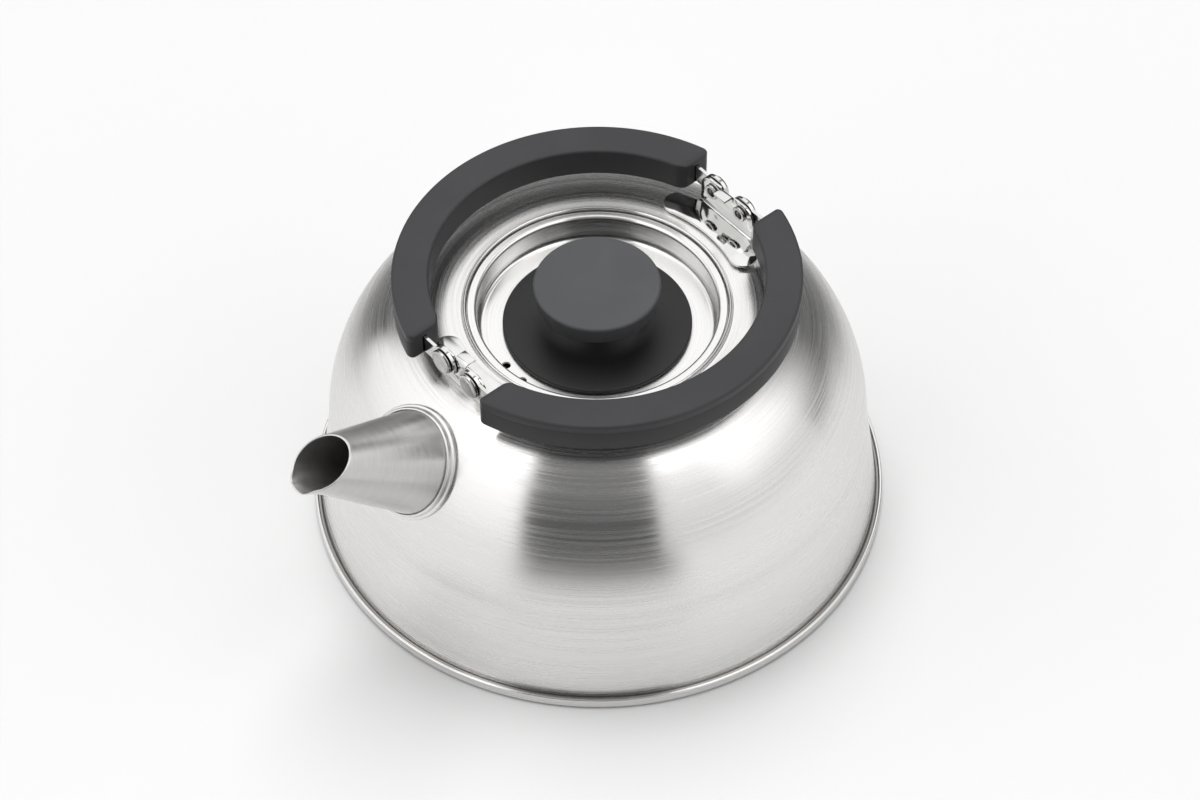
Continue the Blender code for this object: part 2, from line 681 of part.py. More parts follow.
def make_hinges():
    bracket = make_bracket_mesh()
    rivet = make_rivet_mesh()
    for end, sign in (("front", 1), ("rear", -1)):
        place(end + "_bracket", bracket, bright_steel(end + "_bracket_polish"),
              rotation=(0.0, 0.0, 0.0 if sign > 0 else pi))
        for side, y in (("left", pivot_y), ("right", -pivot_y)):
            spot = (sign * plate_x, y, pivot_z)
            turn = (0.0, sign * pi / 2, 0.0)
            name = end + "_" + side
            place(name + "_rivet", rivet, bright_steel(name + "_rivet_polish"), spot, turn)


def make_handles():
    strap = make_strap_mesh()
    grip = make_grip_mesh()
    for side, sign in (("left", 1), ("right", -1)):
        axis = axis_empty(side + "_handle_axis", (0.0, sign * pivot_y, pivot_z))
        turn = (0.0, 0.0, 0.0 if sign > 0 else pi)
        carry(place(side + "_strap", strap, bright_steel(side + "_strap_polish"), rotation=turn), axis)
        carry(place(side + "_grip", grip, black_plastic(side + "_grip_black"), rotation=turn), axis)


def make_lid():
    axis = axis_empty("lid_axis", (0.0, 0.0, lid_rim_low))
    rim_radius = MOUTH_RADIUS + LID_RIM_WIDTH
    floor_under = lid_floor - LID_SHEET
    outline = [(screw_bore, lid_floor, 0.0), (lid_inner_wall - LID_DRAFT, lid_floor, LID_CORNER)]
    outline += [(lid_inner_wall, lid_rim_top, LID_SHOULDER), (rim_radius, lid_rim_top, LID_RIM_ROUNDING)]
    outline += [(rim_radius, lid_rim_low, 0.0), (lid_wall, lid_rim_low, LID_SHOULDER - LID_SHEET)]
    outline += [(lid_wall - LID_DRAFT, floor_under, LID_CORNER + LID_SHEET)]
    outline += [(screw_bore, floor_under, 0.0)]
    lid = place("lid_pan", turned_mesh("lid_pan", softened(outline, 2), LID_STEPS), bright_steel("lid_steel"))
    steam_hole_place = guard_radius + STEAM_HOLE_GAP
    for turn in (STEAM_PAIR_ANGLE - STEAM_HOLE_ANGLE, STEAM_PAIR_ANGLE + STEAM_HOLE_ANGLE):
        x = steam_hole_place * cos(turn)
        y = steam_hole_place * sin(turn)
        combine(lid, bar("steam_hole", (x, y, lid_floor - 3 * LID_SHEET), (x, y, lid_floor + LID_SHEET),
                         STEAM_HOLE_RADIUS, 12), "DIFFERENCE")
    carry(lid, axis)
    carry(make_knob_base(), axis)
    carry(make_knob(), axis)
    for piece in make_knob_screw():
        carry(piece, axis)


def make_knob_base():
    # the stem flares in a quarter of an ellipse down to the disc
    stem_rise = stem_top - guard_top
    turns = [pi / 2 * i / FLARE_STEPS for i in range(FLARE_STEPS + 1)]
    outline = [(screw_bore, stem_top, 0.0)]
    outline += [(STEM_RADIUS + STEM_FLARE * (1 - sin(turn)), stem_top - stem_rise * cos(turn), 0.0)
                for turn in reversed(turns)]
    outline += [(guard_radius - GUARD_SLOPE, guard_top, 0.0)]
    outline += [(guard_radius, guard_low + GUARD_EDGE, GUARD_ROUNDING), (guard_radius, guard_low, 0.0)]
    outline += [(screw_bore, guard_low, 0.0)]
    return place("knob_base", turned_mesh("knob_base", softened(outline), LID_STEPS),
                 black_plastic("guard_black"))


def make_knob():
    knob_top = knob_low + KNOB_HEIGHT
    outline = [(0.0, knob_top, 0.0), (KNOB_RADIUS, knob_top, KNOB_ROUNDING)]
    outline += [(KNOB_RADIUS - KNOB_DRAFT, knob_low, KNOB_ROUNDING), (screw_bore, knob_low, 0.0)]
    outline += [(screw_bore, knob_bore_top, 0.0), (0.0, knob_bore_top, 0.0)]
    return place("knob", turned_mesh("knob", softened(outline, 3), LID_STEPS),
                 finish("knob_grey", (0.085, 0.087, 0.092), 0.5, 0.0))


def make_knob_screw():
    washer_low = lid_washer_top - LID_WASHER_SHEET
    ring = [(screw_bore, lid_washer_top), (LID_WASHER_RADIUS, lid_washer_top)]
    ring += [(LID_WASHER_RADIUS, washer_low), (screw_bore, washer_low)]
    washer = place("knob_washer", turned_mesh("knob_washer", ring, SPOUT_STEPS), bright_steel("washer_steel"))
    head_top = washer_low - CLEARANCE
    head_low = head_top - SCREW_HEAD_HEIGHT
    screw_top = knob_bore_top - CLEARANCE
    outline = [(0.0, screw_top, 0.0), (SCREW_RADIUS, screw_top, 0.0), (SCREW_RADIUS, head_top, 0.0)]
    outline += [(SCREW_HEAD_RADIUS, head_top, 0.0), (SCREW_HEAD_RADIUS, head_low, SCREW_HEAD_ROUNDING)]
    outline += [(0.0, head_low, 0.0)]
    screw = place("knob_screw", turned_mesh("knob_screw", softened(outline), RIVET_STEPS),
                  bright_steel("screw_steel"))
    return washer, screw


def main():
    clear_scene()
    make_body()
    make_base()
    make_spout()
    make_hinges()
    make_handles()
    make_lid()


main()
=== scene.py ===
# Looks of the compact camping kettle: steel body, spout and lid, black grips and knob,
# a pale floor, a soft studio and the camera. Metres, +Z up, the spout points along +X.

from functools import partial
from math import acos, asin, cos, hypot, pi, radians, sin, sqrt, tan

import bmesh
import bpy
from mathutils import Matrix, Vector


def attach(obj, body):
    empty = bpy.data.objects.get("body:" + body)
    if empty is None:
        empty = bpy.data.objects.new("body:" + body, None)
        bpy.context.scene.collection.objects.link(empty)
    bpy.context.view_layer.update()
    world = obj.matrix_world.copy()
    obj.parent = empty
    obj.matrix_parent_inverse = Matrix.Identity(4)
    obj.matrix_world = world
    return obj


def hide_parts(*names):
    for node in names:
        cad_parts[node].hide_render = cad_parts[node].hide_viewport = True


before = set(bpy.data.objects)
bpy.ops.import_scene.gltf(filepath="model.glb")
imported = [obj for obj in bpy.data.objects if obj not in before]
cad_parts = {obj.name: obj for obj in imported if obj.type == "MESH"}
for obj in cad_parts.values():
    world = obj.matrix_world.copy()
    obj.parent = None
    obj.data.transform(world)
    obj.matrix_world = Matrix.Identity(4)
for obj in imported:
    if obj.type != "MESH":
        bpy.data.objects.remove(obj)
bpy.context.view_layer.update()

gap = 0.0003        # what the solids keep between touching pieces
tiny = 0.000001     # points closer than this are one
fineRound = 0.0001  # usual roundings of the edges
smallRound = 0.0002
softRound = 0.0003
sharpAngle = radians(35.0)


# Small helpers

def inputNamed(tree, name):
    for item in tree.interface.items_tree:
        if item.name == name and item.in_out == "INPUT":
            return item.identifier
    return None


def feedAll(node, inputs):
    # inputs go by name or number; a socket is linked, and a number, a vector or a colour is set
    for name, value in inputs.items():
        place = node.inputs[name]
        if isinstance(value, bpy.types.NodeSocket):
            place.id_data.links.new(value, place)
        elif isinstance(value, tuple) and len(place.default_value) == 4:
            place.default_value = (*value, 1.0)
        else:
            place.default_value = value


def newNode(tree, kind, inputs, **settings):
    node = tree.nodes.new(kind)
    for name, value in settings.items():
        setattr(node, name, value)
    feedAll(node, inputs)
    return node


def treeOf(values):
    # the tree of the first socket among the values
    return next(value.id_data for value in values if isinstance(value, bpy.types.NodeSocket))


def maths(operation, *values, kind="ShaderNodeMath"):
    return newNode(treeOf(values), kind, dict(enumerate(values)), operation=operation).outputs[0]


plus = partial(maths, "ADD")
minus = partial(maths, "SUBTRACT")
times = partial(maths, "MULTIPLY")
over = partial(maths, "DIVIDE")


def blended(share, first, second):
    return plus(times(first, minus(1.0, share)), times(share, second))


def vectorMaths(operation, *values):
    return maths(operation, *values, kind="ShaderNodeVectorMath")


def axesOf(vector):
    return newNode(vector.id_data, "ShaderNodeSeparateXYZ", {0: vector}).outputs


def pointFrom(*values):
    return newNode(treeOf(values), "ShaderNodeCombineXYZ", dict(enumerate(values))).outputs[0]


def smoothRise(value, start, end):
    # 0 before start, 1 after end, eased between; start may be the larger of the two
    return newNode(value.id_data, "ShaderNodeMapRange", {"Value": value, "From Min": start, "From Max": end},
                   interpolation_type="SMOOTHSTEP").outputs["Result"]


def mixedColour(factor, first, second):
    return newNode(factor.id_data, "ShaderNodeMix", {0: factor, 6: first, 7: second},
                   data_type="RGBA").outputs[2]


def placeIn(tree, kind="Object"):
    return newNode(tree, "ShaderNodeTexCoord", {}).outputs[kind]


def awayFromAxis(x, y):
    return maths("SQRT", plus(times(x, x), times(y, y)))


def meshObject(name, mesh):
    piece = bpy.data.objects.new(name, mesh)
    bpy.context.scene.collection.objects.link(piece)
    return piece


def meshFrom(bm, name, smoothAngle=None):
    # merges, turns the faces outwards and shades smooth
    bmesh.ops.remove_doubles(bm, verts=bm.verts, dist=tiny)
    bmesh.ops.recalc_face_normals(bm, faces=bm.faces)
    mesh = bpy.data.meshes.new(name)
    bm.to_mesh(mesh)
    bm.free()
    mesh.shade_smooth()
    if smoothAngle is not None:
        mesh.set_sharp_from_angle(angle=smoothAngle)
    return mesh


def settle(piece):
    # applies the modifiers and leaves one plain mesh
    bpy.context.view_layer.update()
    evaluated = piece.evaluated_get(bpy.context.evaluated_depsgraph_get())
    mesh = bpy.data.meshes.new_from_object(evaluated)
    piece.modifiers.clear()
    piece.data = mesh
    mesh.name = piece.name
    return piece


def runTree(piece, tree, values):
    # runs a Geometry Nodes tree on a piece, with its inputs set by name
    modifier = piece.modifiers.new(tree.name, "NODES")
    modifier.node_group = tree
    for name, value in values.items():
        modifier[inputNamed(tree, name)] = value
    return settle(piece)


def combined(piece, jobs):
    # each job is a mesh and UNION or DIFFERENCE
    tools = []
    for mesh, operation in jobs:
        tool = meshObject(piece.name + "Tool", mesh)
        modifier = piece.modifiers.new("combine", "BOOLEAN")
        modifier.operation = operation
        modifier.solver = "EXACT"
        modifier.object = tool
        tools.append(tool)
    settle(piece)
    for tool in tools:
        bpy.data.objects.remove(tool, do_unlink=True)
    return piece


def cutOut(piece, cutters):
    combined(piece, [(cutter, "DIFFERENCE") for cutter in cutters])
    piece.data.set_sharp_from_angle(angle=sharpAngle)
    return piece


def bevelled(piece, width, segments, angle=radians(30)):
    modifier = piece.modifiers.new("bevel", "BEVEL")
    modifier.width = width
    modifier.segments = segments
    modifier.limit_method = "ANGLE"
    modifier.angle_limit = angle
    modifier.harden_normals = False
    settle(piece)
    piece.data.shade_smooth()
    return piece


def barMesh(name, start, end, radius, steps):
    start = Vector(start)
    end = Vector(end)
    bm = bmesh.new()
    bmesh.ops.create_cone(bm, cap_ends=True, segments=steps, radius1=radius, radius2=radius,
                          depth=(end - start).length)
    turn = Vector((0, 0, 1)).rotation_difference(end - start).to_matrix().to_4x4()
    bmesh.ops.transform(bm, matrix=Matrix.Translation((start + end) / 2) @ turn, verts=bm.verts)
    return meshFrom(bm, name)


def filleted(corners, closed=True, hold=0.00006):
    # corners are (x, y, radius): each becomes an arc, with a holding point beside it on either side
    points = []
    count = len(corners)
    for i, (x, y, radius) in enumerate(corners):
        corner = Vector((x, y))
        if radius == 0.0 or (not closed and i in (0, count - 1)):
            points.append(corner)
            continue
        toBefore = (Vector(corners[i - 1][:2]) - corner).normalized()
        toAfter = (Vector(corners[(i + 1) % count][:2]) - corner).normalized()
        half = acos(max(-1.0, min(1.0, toBefore.dot(toAfter)))) / 2
        if half > radians(89):
            points.append(corner)
            continue
        reach = radius / tan(half)
        centre = corner + (toBefore + toAfter).normalized() * (radius / sin(half))
        start = corner + toBefore * reach
        end = corner + toAfter * reach
        steps = max(3, round((pi - 2 * half) / radians(12)))
        points.append(start + toBefore * hold)
        first = start - centre
        sweep = first.angle_signed(end - centre)
        for step in range(steps + 1):
            turn = -sweep * step / steps
            points.append(centre + Vector((first.x * cos(turn) - first.y * sin(turn),
                                           first.x * sin(turn) + first.y * cos(turn))))
        points.append(end + toAfter * hold)
    return points


# Geometry Nodes: what the trees share, and the lathe that turns an outline about Z

def newPieceTree(name, inputs):
    # a tree with a Geometry input, the given inputs, a material and a Geometry output
    tree = bpy.data.node_groups.new(name, "GeometryNodeTree")
    for title, kind in (("Geometry", "Geometry"), *inputs, ("Material", "Material")):
        tree.interface.new_socket(title, in_out="INPUT", socket_type="NodeSocket" + kind)
    tree.interface.new_socket("Geometry", in_out="OUTPUT", socket_type="NodeSocketGeometry")
    return tree, tree.nodes.new("NodeGroupInput").outputs


def finishTree(geometry, material):
    tree = geometry.id_data
    whole = newNode(tree, "GeometryNodeRealizeInstances", {"Geometry": geometry}).outputs[0]
    finish = newNode(tree, "GeometryNodeSetMaterial", {"Geometry": whole, "Material": material})
    newNode(tree, "NodeGroupOutput", {"Geometry": finish.outputs[0]})


def countedGrid(columns, rows):
    # a grid, with the column and the row of each of its points
    tree = columns.id_data
    grid = newNode(tree, "GeometryNodeMeshGrid", {"Vertices X": columns, "Vertices Y": rows})
    index = newNode(tree, "GeometryNodeInputIndex", {}).outputs[0]
    return grid.outputs["Mesh"], maths("FLOOR", over(index, rows)), maths("MODULO", index, rows)


def outlinePoint(outline, index):
    # where the outline's point of this index lies
    position = newNode(outline.id_data, "GeometryNodeInputPosition", {}).outputs[0]
    sample = newNode(outline.id_data, "GeometryNodeSampleIndex", {
        "Geometry": outline, "Value": position, "Index": index}, data_type="FLOAT_VECTOR", domain="POINT")
    return axesOf(sample.outputs["Value"])


def placedRound(mesh, radius, turn, height):
    place = pointFrom(times(radius, maths("COSINE", turn)), times(radius, maths("SINE", turn)), height)
    return newNode(mesh.id_data, "GeometryNodeSetPosition", {"Geometry": mesh, "Position": place}).outputs[0]


def makeLatheTree():
    tree, given = newPieceTree("turnedPiece", [("Steps", "Int")])
    # one column of points for each point of the outline, one row for each step of the turn
    size = newNode(tree, "GeometryNodeAttributeDomainSize", {"Geometry": given["Geometry"]})
    mesh, column, row = countedGrid(size.outputs["Point Count"], plus(given["Steps"], 1))
    turn = times(over(row, given["Steps"]), 2 * pi)
    parts = outlinePoint(given["Geometry"], column)
    merge = newNode(tree, "GeometryNodeMergeByDistance", {
        "Geometry": placedRound(mesh, parts[0], turn, parts[2]), "Distance": tiny})
    finishTree(merge.outputs[0], given["Material"])
    return tree


def turned(name, outline, material, steps=192):
    # outline is a list of (radius, height) points; a closed one ends where it starts
    mesh = bpy.data.meshes.new(name)
    mesh.from_pydata([(point[0], 0.0, point[1]) for point in outline],
                     [(i, i + 1) for i in range(len(outline) - 1)], [])
    piece = runTree(meshObject(name, mesh), latheTree, {"Steps": steps, "Material": material})
    bm = bmesh.new()
    bm.from_mesh(piece.data)
    bmesh.ops.remove_doubles(bm, verts=bm.verts, dist=tiny)
    bmesh.ops.recalc_face_normals(bm, faces=bm.faces)
    bm.to_mesh(piece.data)
    bm.free()
    piece.data.shade_smooth()
    return piece


def closedOutline(corners):
    points = filleted(corners)
    return points + [points[0]]


# Finishes

brushing = {
    "details": ((1.0, 4.0), (0.2, 2.0)), "noiseRoughness": 0.72, "fineShare": 0.7,
    "colourRise": (0.3, 0.7), "roughnessRise": (0.38, 0.62), "hazeRise": (0.35, 0.65), "turn": 0.25,
}


def noiseOf(place, scale, detail, **more):
    return newNode(place.id_data, "ShaderNodeTexNoise", {
        "Vector": place, "Scale": scale, "Detail": detail, **more}).outputs[0]


def newShaderGroup(name, inputs, outputs):
    # a group with a Vector input, the given number inputs and the given number outputs
    tree = bpy.data.node_groups.new(name, "ShaderNodeTree")
    tree.interface.new_socket("Vector", in_out="INPUT", socket_type="NodeSocketVector")
    for titles, side in ((inputs, "INPUT"), (outputs, "OUTPUT")):
        for title in titles:
            tree.interface.new_socket(title, in_out=side, socket_type="NodeSocketFloat")
    return tree, tree.nodes.new("NodeGroupInput").outputs


def relief(look, grain):
    # fine unevenness of the surface
    return newNode(grain.id_data, "ShaderNodeBump", {
        "Strength": look["bump"], "Distance": look["bumpDepth"], "Height": grain}).outputs[0]


def makeBrushGroup():
    # lines that run round an axis through the origin of the given vector
    tree, given = newShaderGroup("circularBrushing", ("Lines per metre", "Run", "Seed"), ("Fine", "Broad"))
    x, y, z = axesOf(given["Vector"])
    away = maths("MAXIMUM", awayFromAxis(x, y), tiny)
    across = times(minus(z, away), given["Lines per metre"])
    result = {}
    for place, (share, detail) in enumerate(brushing["details"]):
        run = times(given["Run"], share ** 0.5)
        vector = pointFrom(times(over(x, away), run), times(over(y, away), run),
                           plus(times(across, share), given["Seed"]))
        result[place] = noiseOf(vector, 1.0, detail, Roughness=brushing["noiseRoughness"])
    newNode(tree, "NodeGroupOutput", result)
    return tree


def newMaterial(name):
    material = bpy.data.materials.new(name)
    material.use_nodes = True
    return material, material.node_tree, material.node_tree.nodes["Principled BSDF"]


def tangentRound(place, centre, axis):
    # the direction that runs round an axis through a centre
    away = vectorMaths("SUBTRACT", place, centre)
    unit = vectorMaths("NORMALIZE", vectorMaths("CROSS_PRODUCT", axis, away))
    return newNode(place.id_data, "ShaderNodeVectorTransform", {0: unit}, vector_type="VECTOR",
                   convert_from="OBJECT", convert_to="WORLD").outputs[0]


def shadeBy(value, rise, look):
    return mixedColour(smoothRise(value, *rise), look["darkColour"], look["colour"])


def brushedSteel(name, look, turnTo=None, centre=None, axis=None):
    # steel brushed round Z, or round another axis through a centre
    material, tree, shader = newMaterial(name)
    vector = placeIn(tree)
    if turnTo is None:
        tangent = newNode(tree, "ShaderNodeTangent", {}, direction_type="RADIAL", axis="Z").outputs[0]
    else:
        tangent = tangentRound(vector, centre, axis)
        vector = newNode(tree, "ShaderNodeMapping", {
            "Vector": vector, "Location": centre, "Rotation": turnTo}, vector_type="TEXTURE").outputs[0]
    fine, broad = newNode(tree, "ShaderNodeGroup", {
        "Vector": vector, "Lines per metre": look["linesPerMetre"], "Run": look["run"],
        "Seed": look["seed"]}, node_tree=brushGroup).outputs
    shade = plus(times(fine, brushing["fineShare"]), times(broad, 1.0 - brushing["fineShare"]))
    colour = shadeBy(shade, brushing["colourRise"], look)
    if "creaseTop" in look:
        # painted shade: the metal is darkened low down, in the crease above the base rim
        crease = smoothRise(axesOf(vector)[2], look["creaseTop"], look["creaseLow"])
        colour = mixedColour(crease, colour, look["creaseShadeColour"])
    change = times(smoothRise(fine, *brushing["roughnessRise"]), look["roughnessChange"])
    # the coat is the little light that the brushed lines scatter; highlights stretch across the lines
    feedAll(shader, {
        "Base Color": colour, "Metallic": 1.0, "Roughness": plus(look["roughness"], change),
        "Normal": relief(look, fine), "Tangent": tangent,
        "Coat Weight": times(smoothRise(fine, *brushing["hazeRise"]), look["haze"]),
        "Coat Roughness": look["hazeRoughness"], "Coat IOR": look["hazeIor"],
        "Anisotropic": look["stretch"], "Anisotropic Rotation": brushing["turn"]})
    return material


def polishedSteel(name, look):
    # pressed sheet, mirror bright with a slight unevenness
    material, tree, shader = newMaterial(name)
    place = placeIn(tree)
    wave = noiseOf(place, look["waveScale"], look["waveDetail"])
    change = times(noiseOf(place, look["grainScale"], look["grainDetail"]), look["roughnessChange"])
    feedAll(shader, {
        "Base Color": shadeBy(wave, look["waveRise"], look), "Metallic": 1.0,
        "Roughness": plus(look["roughness"], change), "Normal": relief(look, wave)})
    return material


def makeGrainGroup():
    # the fine grain of a moulded surface and a slow change of shade
    details = {"Grains per metre": 1.0, "Clouds per metre": 3.0}
    tree, given = newShaderGroup("mouldedGrain", details, ("Grain", "Clouds"))
    noises = [noiseOf(given["Vector"], given[scale], detail) for scale, detail in details.items()]
    newNode(tree, "NodeGroupOutput", dict(enumerate(noises)))
    return tree


def mouldedPlastic(name, look):
    material, tree, shader = newMaterial(name)
    grain, clouds = newNode(tree, "ShaderNodeGroup", {
        "Vector": placeIn(tree), "Grains per metre": look["grainsPerMetre"],
        "Clouds per metre": look["cloudsPerMetre"]}, node_tree=grainGroup).outputs
    change = times(minus(grain, 0.5), look["roughnessChange"])
    feedAll(shader, {
        "Base Color": shadeBy(clouds, look["cloudRise"], look),
        "Roughness": plus(look["roughness"], change), "Normal": relief(look, grain),
        "Specular IOR Level": look["specular"]})
    return material


latheTree = makeLatheTree()
brushGroup = makeBrushGroup()
grainGroup = makeGrainGroup()

bodyLook = {"colour": (0.79, 0.78, 0.77), "darkColour": (0.755, 0.745, 0.735), "roughness": 0.19,
            "roughnessChange": 0.09, "linesPerMetre": 1300.0, "run": 0.5, "seed": 0.0,
            "bump": 0.10, "bumpDepth": 0.00001, "stretch": 0.85, "haze": 0.60, "hazeRoughness": 0.5,
            "hazeIor": 1.8}
baseLook = dict(bodyLook, seed=11.0)
collarLook = dict(bodyLook, seed=23.0, roughness=0.30, roughnessChange=0.05, stretch=0.5)
spoutLook = dict(bodyLook, seed=31.0, colour=(0.73, 0.72, 0.71), darkColour=(0.66, 0.65, 0.64),
                 roughness=0.34, roughnessChange=0.08, linesPerMetre=1900.0, run=2.5, stretch=0.75, haze=0.4)
lidLook = dict(bodyLook, seed=47.0, colour=(0.78, 0.775, 0.765), darkColour=(0.75, 0.745, 0.735),
               roughness=0.16, roughnessChange=0.07, haze=0.9, hazeIor=2.3)
polishLook = {"colour": (0.72, 0.72, 0.71), "darkColour": (0.64, 0.64, 0.63), "roughness": 0.05,
              "roughnessChange": 0.06, "waveScale": 130.0, "waveDetail": 1.0, "waveRise": (0.35, 0.65),
              "grainScale": 1500.0, "grainDetail": 2.0, "bump": 0.25, "bumpDepth": 0.00004}
gripLook = {"colour": (0.034, 0.034, 0.036), "darkColour": (0.029, 0.029, 0.031), "roughness": 0.52,
            "roughnessChange": 0.12, "grainsPerMetre": 3200.0, "cloudsPerMetre": 45.0,
            "cloudRise": (0.3, 0.7), "bump": 0.25, "bumpDepth": 0.00006, "specular": 0.4}
knobLook = dict(gripLook, colour=(0.060, 0.061, 0.066), darkColour=(0.052, 0.053, 0.057), roughness=0.50)
guardLook = dict(gripLook, colour=(0.012, 0.012, 0.0125), darkColour=(0.009, 0.009, 0.0095), roughness=0.45)

# the body's steel has painted shade in the crease above the base rim
bodySteel = brushedSteel("bodySteel", dict(bodyLook, creaseTop=0.0036, creaseLow=0.0026,
                                           creaseShadeColour=(0.30, 0.29, 0.28)))
baseSteel = brushedSteel("baseSteel", baseLook)
lidSteel = brushedSteel("lidSteel", lidLook)
bracketSteel = polishedSteel("bracketSteel", polishLook)
strapSteel = polishedSteel("strapSteel", dict(polishLook, roughness=0.10))
rivetSteel = polishedSteel("rivetSteel", dict(polishLook, colour=(0.62, 0.61, 0.60),
                                              darkColour=(0.48, 0.47, 0.46), roughness=0.15))
gripPlastic = mouldedPlastic("gripPlastic", gripLook)
knobPlastic = mouldedPlastic("knobPlastic", knobLook)
guardPlastic = mouldedPlastic("guardPlastic", guardLook)


# Body

body = {
    "footRadius": 0.0893, "lean": 0.0049, "shoulderHeight": 0.0350, "crownHeight": 0.0835,
    "crownRadius": 0.0420, "dip": 0.0008, "dipWidth": 0.0085, "sheet": 0.0008, "bend": 0.0006,
    "domeSteps": 56, "wallSteps": 12, "wallStart": 0.0015, "steps": 256,
    "mouthRadius": 0.0379, "ledgeRadius": 0.0401, "ledgeHeight": 0.0816, "neckLength": 0.0059,
    "beadRadius": 0.0408, "beadRise": 0.0002, "grooveRadius": 0.0414, "grooveDepth": 0.0003,
    "grooveRounding": 0.00015, "edgeStep": 0.0001,
    "flangeLow": 0.0017, "flangeHigh": 0.0025, "flangeRadius": 0.0899,
}
spout = {
    "rootDrop": 0.0172, "angle": radians(36.4), "length": 0.0398, "rootRadius": 0.0156,
    "mouthRadius": 0.00825, "cutAngle": radians(67.8), "lipLength": 0.0015,
    "lipFlat": radians(12.0), "lipEnd": radians(50.0), "lipStart": 0.84, "thinSheet": 0.0005,
    "edgeShare": 0.3, "tipShare": 1.004, "holeRadius": 0.0133, "holeSteps": 64,
    "steps": 144, "halvings": 36,
    "collarWidth": 0.0018, "collarStep": 0.0009, "collarEdge": 0.0012, "collarRise": 0.0026,
    "collarRounding": 0.0004, "collarOverlap": 0.0002,
    # where along the tube its rings lie, closer together near the pouring lip
    "shares": (0.0, 0.005, 0.1, 0.25, 0.4, 0.55, 0.7, 0.80, 0.84, 0.87, 0.90, 0.925, 0.95, 0.965, 0.98,
               0.992, 1.0),
}
shoulderRadius = body["footRadius"] - body["lean"]
domeRise = body["crownHeight"] - body["shoulderHeight"]


def domePoint(turn, grow=0.0):
    # turn is 0 at the shoulder and a quarter turn at the crown
    radius = body["crownRadius"] + (shoulderRadius - body["crownRadius"] + grow) * cos(turn)
    inward = max(0.0, 1.0 - (radius - body["crownRadius"]) / body["dipWidth"])
    return (radius, body["shoulderHeight"] + (domeRise + grow) * sin(turn) - body["dip"] * inward ** 2)


def wallRadius(height):
    return body["footRadius"] - body["lean"] * height / body["shoulderHeight"]


def outsideDome(point, grow):
    # above 0 outside the dome grown by this much, below 0 inside it
    radius = hypot(point.x, point.y)
    if point.z < body["shoulderHeight"]:
        return radius - wallRadius(point.z) - grow
    across = (radius - body["crownRadius"]) / (shoulderRadius - body["crownRadius"] + grow)
    up = (point.z - body["shoulderHeight"]) / (domeRise + grow)
    return sqrt(max(across, 0.0) ** 2 + up ** 2) - 1.0


spoutTurn = asin(1.0 - spout["rootDrop"] / domeRise)
spoutRoot = Vector((domePoint(spoutTurn)[0], 0.0, body["crownHeight"] - spout["rootDrop"]))
spoutAxis = Vector((cos(spout["angle"]), 0.0, sin(spout["angle"])))
spoutUp = Vector((-sin(spout["angle"]), 0.0, cos(spout["angle"])))
spoutSide = Vector((0.0, 1.0, 0.0))


def makeBody():
    sheet, crown = body["sheet"], body["crownHeight"]
    low, high, flange = body["flangeLow"], body["flangeHigh"], body["flangeRadius"]
    mouth, bead, groove = body["mouthRadius"], body["beadRadius"], body["grooveRadius"]
    ledge, ledgeHeight = body["ledgeRadius"], body["ledgeHeight"]
    wallFoot = wallRadius(high)
    wallLow = high + body["wallStart"]
    wallRise = body["shoulderHeight"] - wallLow
    wall = [wallLow + wallRise * i / body["wallSteps"] for i in range(body["wallSteps"])]
    turns = [pi / 2 * i / body["domeSteps"] for i in range(body["domeSteps"] + 1)]
    grooveEdge = crown - body["dip"]
    neckLow = ledgeHeight - body["neckLength"]
    corners = [(wallFoot - sheet, low, 0.0), (flange, low, 0.0), (flange, high, 0.0),
               (wallFoot, high, body["bend"])]
    corners += [(wallRadius(height), height, 0.0) for height in wall]
    corners += [(*domePoint(turn), 0.0) for turn in turns]
    corners += [(groove + body["edgeStep"], grooveEdge, smallRound),
                ((groove + bead) / 2, grooveEdge - body["grooveDepth"], body["grooveRounding"]),
                (bead, crown, fineRound), ((bead + ledge) / 2, crown + body["beadRise"], softRound),
                (ledge, crown - body["edgeStep"], smallRound), (ledge, ledgeHeight, softRound),
                (mouth, ledgeHeight, body["bend"]), (mouth, neckLow, softRound),
                (mouth + sheet, neckLow, softRound), (mouth + sheet, ledgeHeight - sheet, 0.0),
                (ledge + sheet, ledgeHeight - sheet, 0.0)]
    corners += [(*domePoint(turn, -sheet), 0.0) for turn in reversed(turns[::2])]
    shell = turned("bodyShell", closedOutline(corners), bodySteel, body["steps"])
    reach = spoutAxis * spout["holeRadius"]
    cutOut(shell, [barMesh("spoutHole", spoutRoot - reach, spoutRoot + reach, spout["holeRadius"],
                           spout["holeSteps"])])
    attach(shell, "kettle")
    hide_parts("body_shell")


basePan = {"sheet": 0.0008, "footInset": 0.0029, "rimLift": 0.0003, "rimSlope": 0.0009, "lipWidth": 0.0009,
           "footRounding": 0.0008, "rimRounding": 0.0006, "topRounding": 0.0004, "rounding": 0.0003,
           "lipInsideRounding": 0.0003, "lipLowRounding": 0.00005}


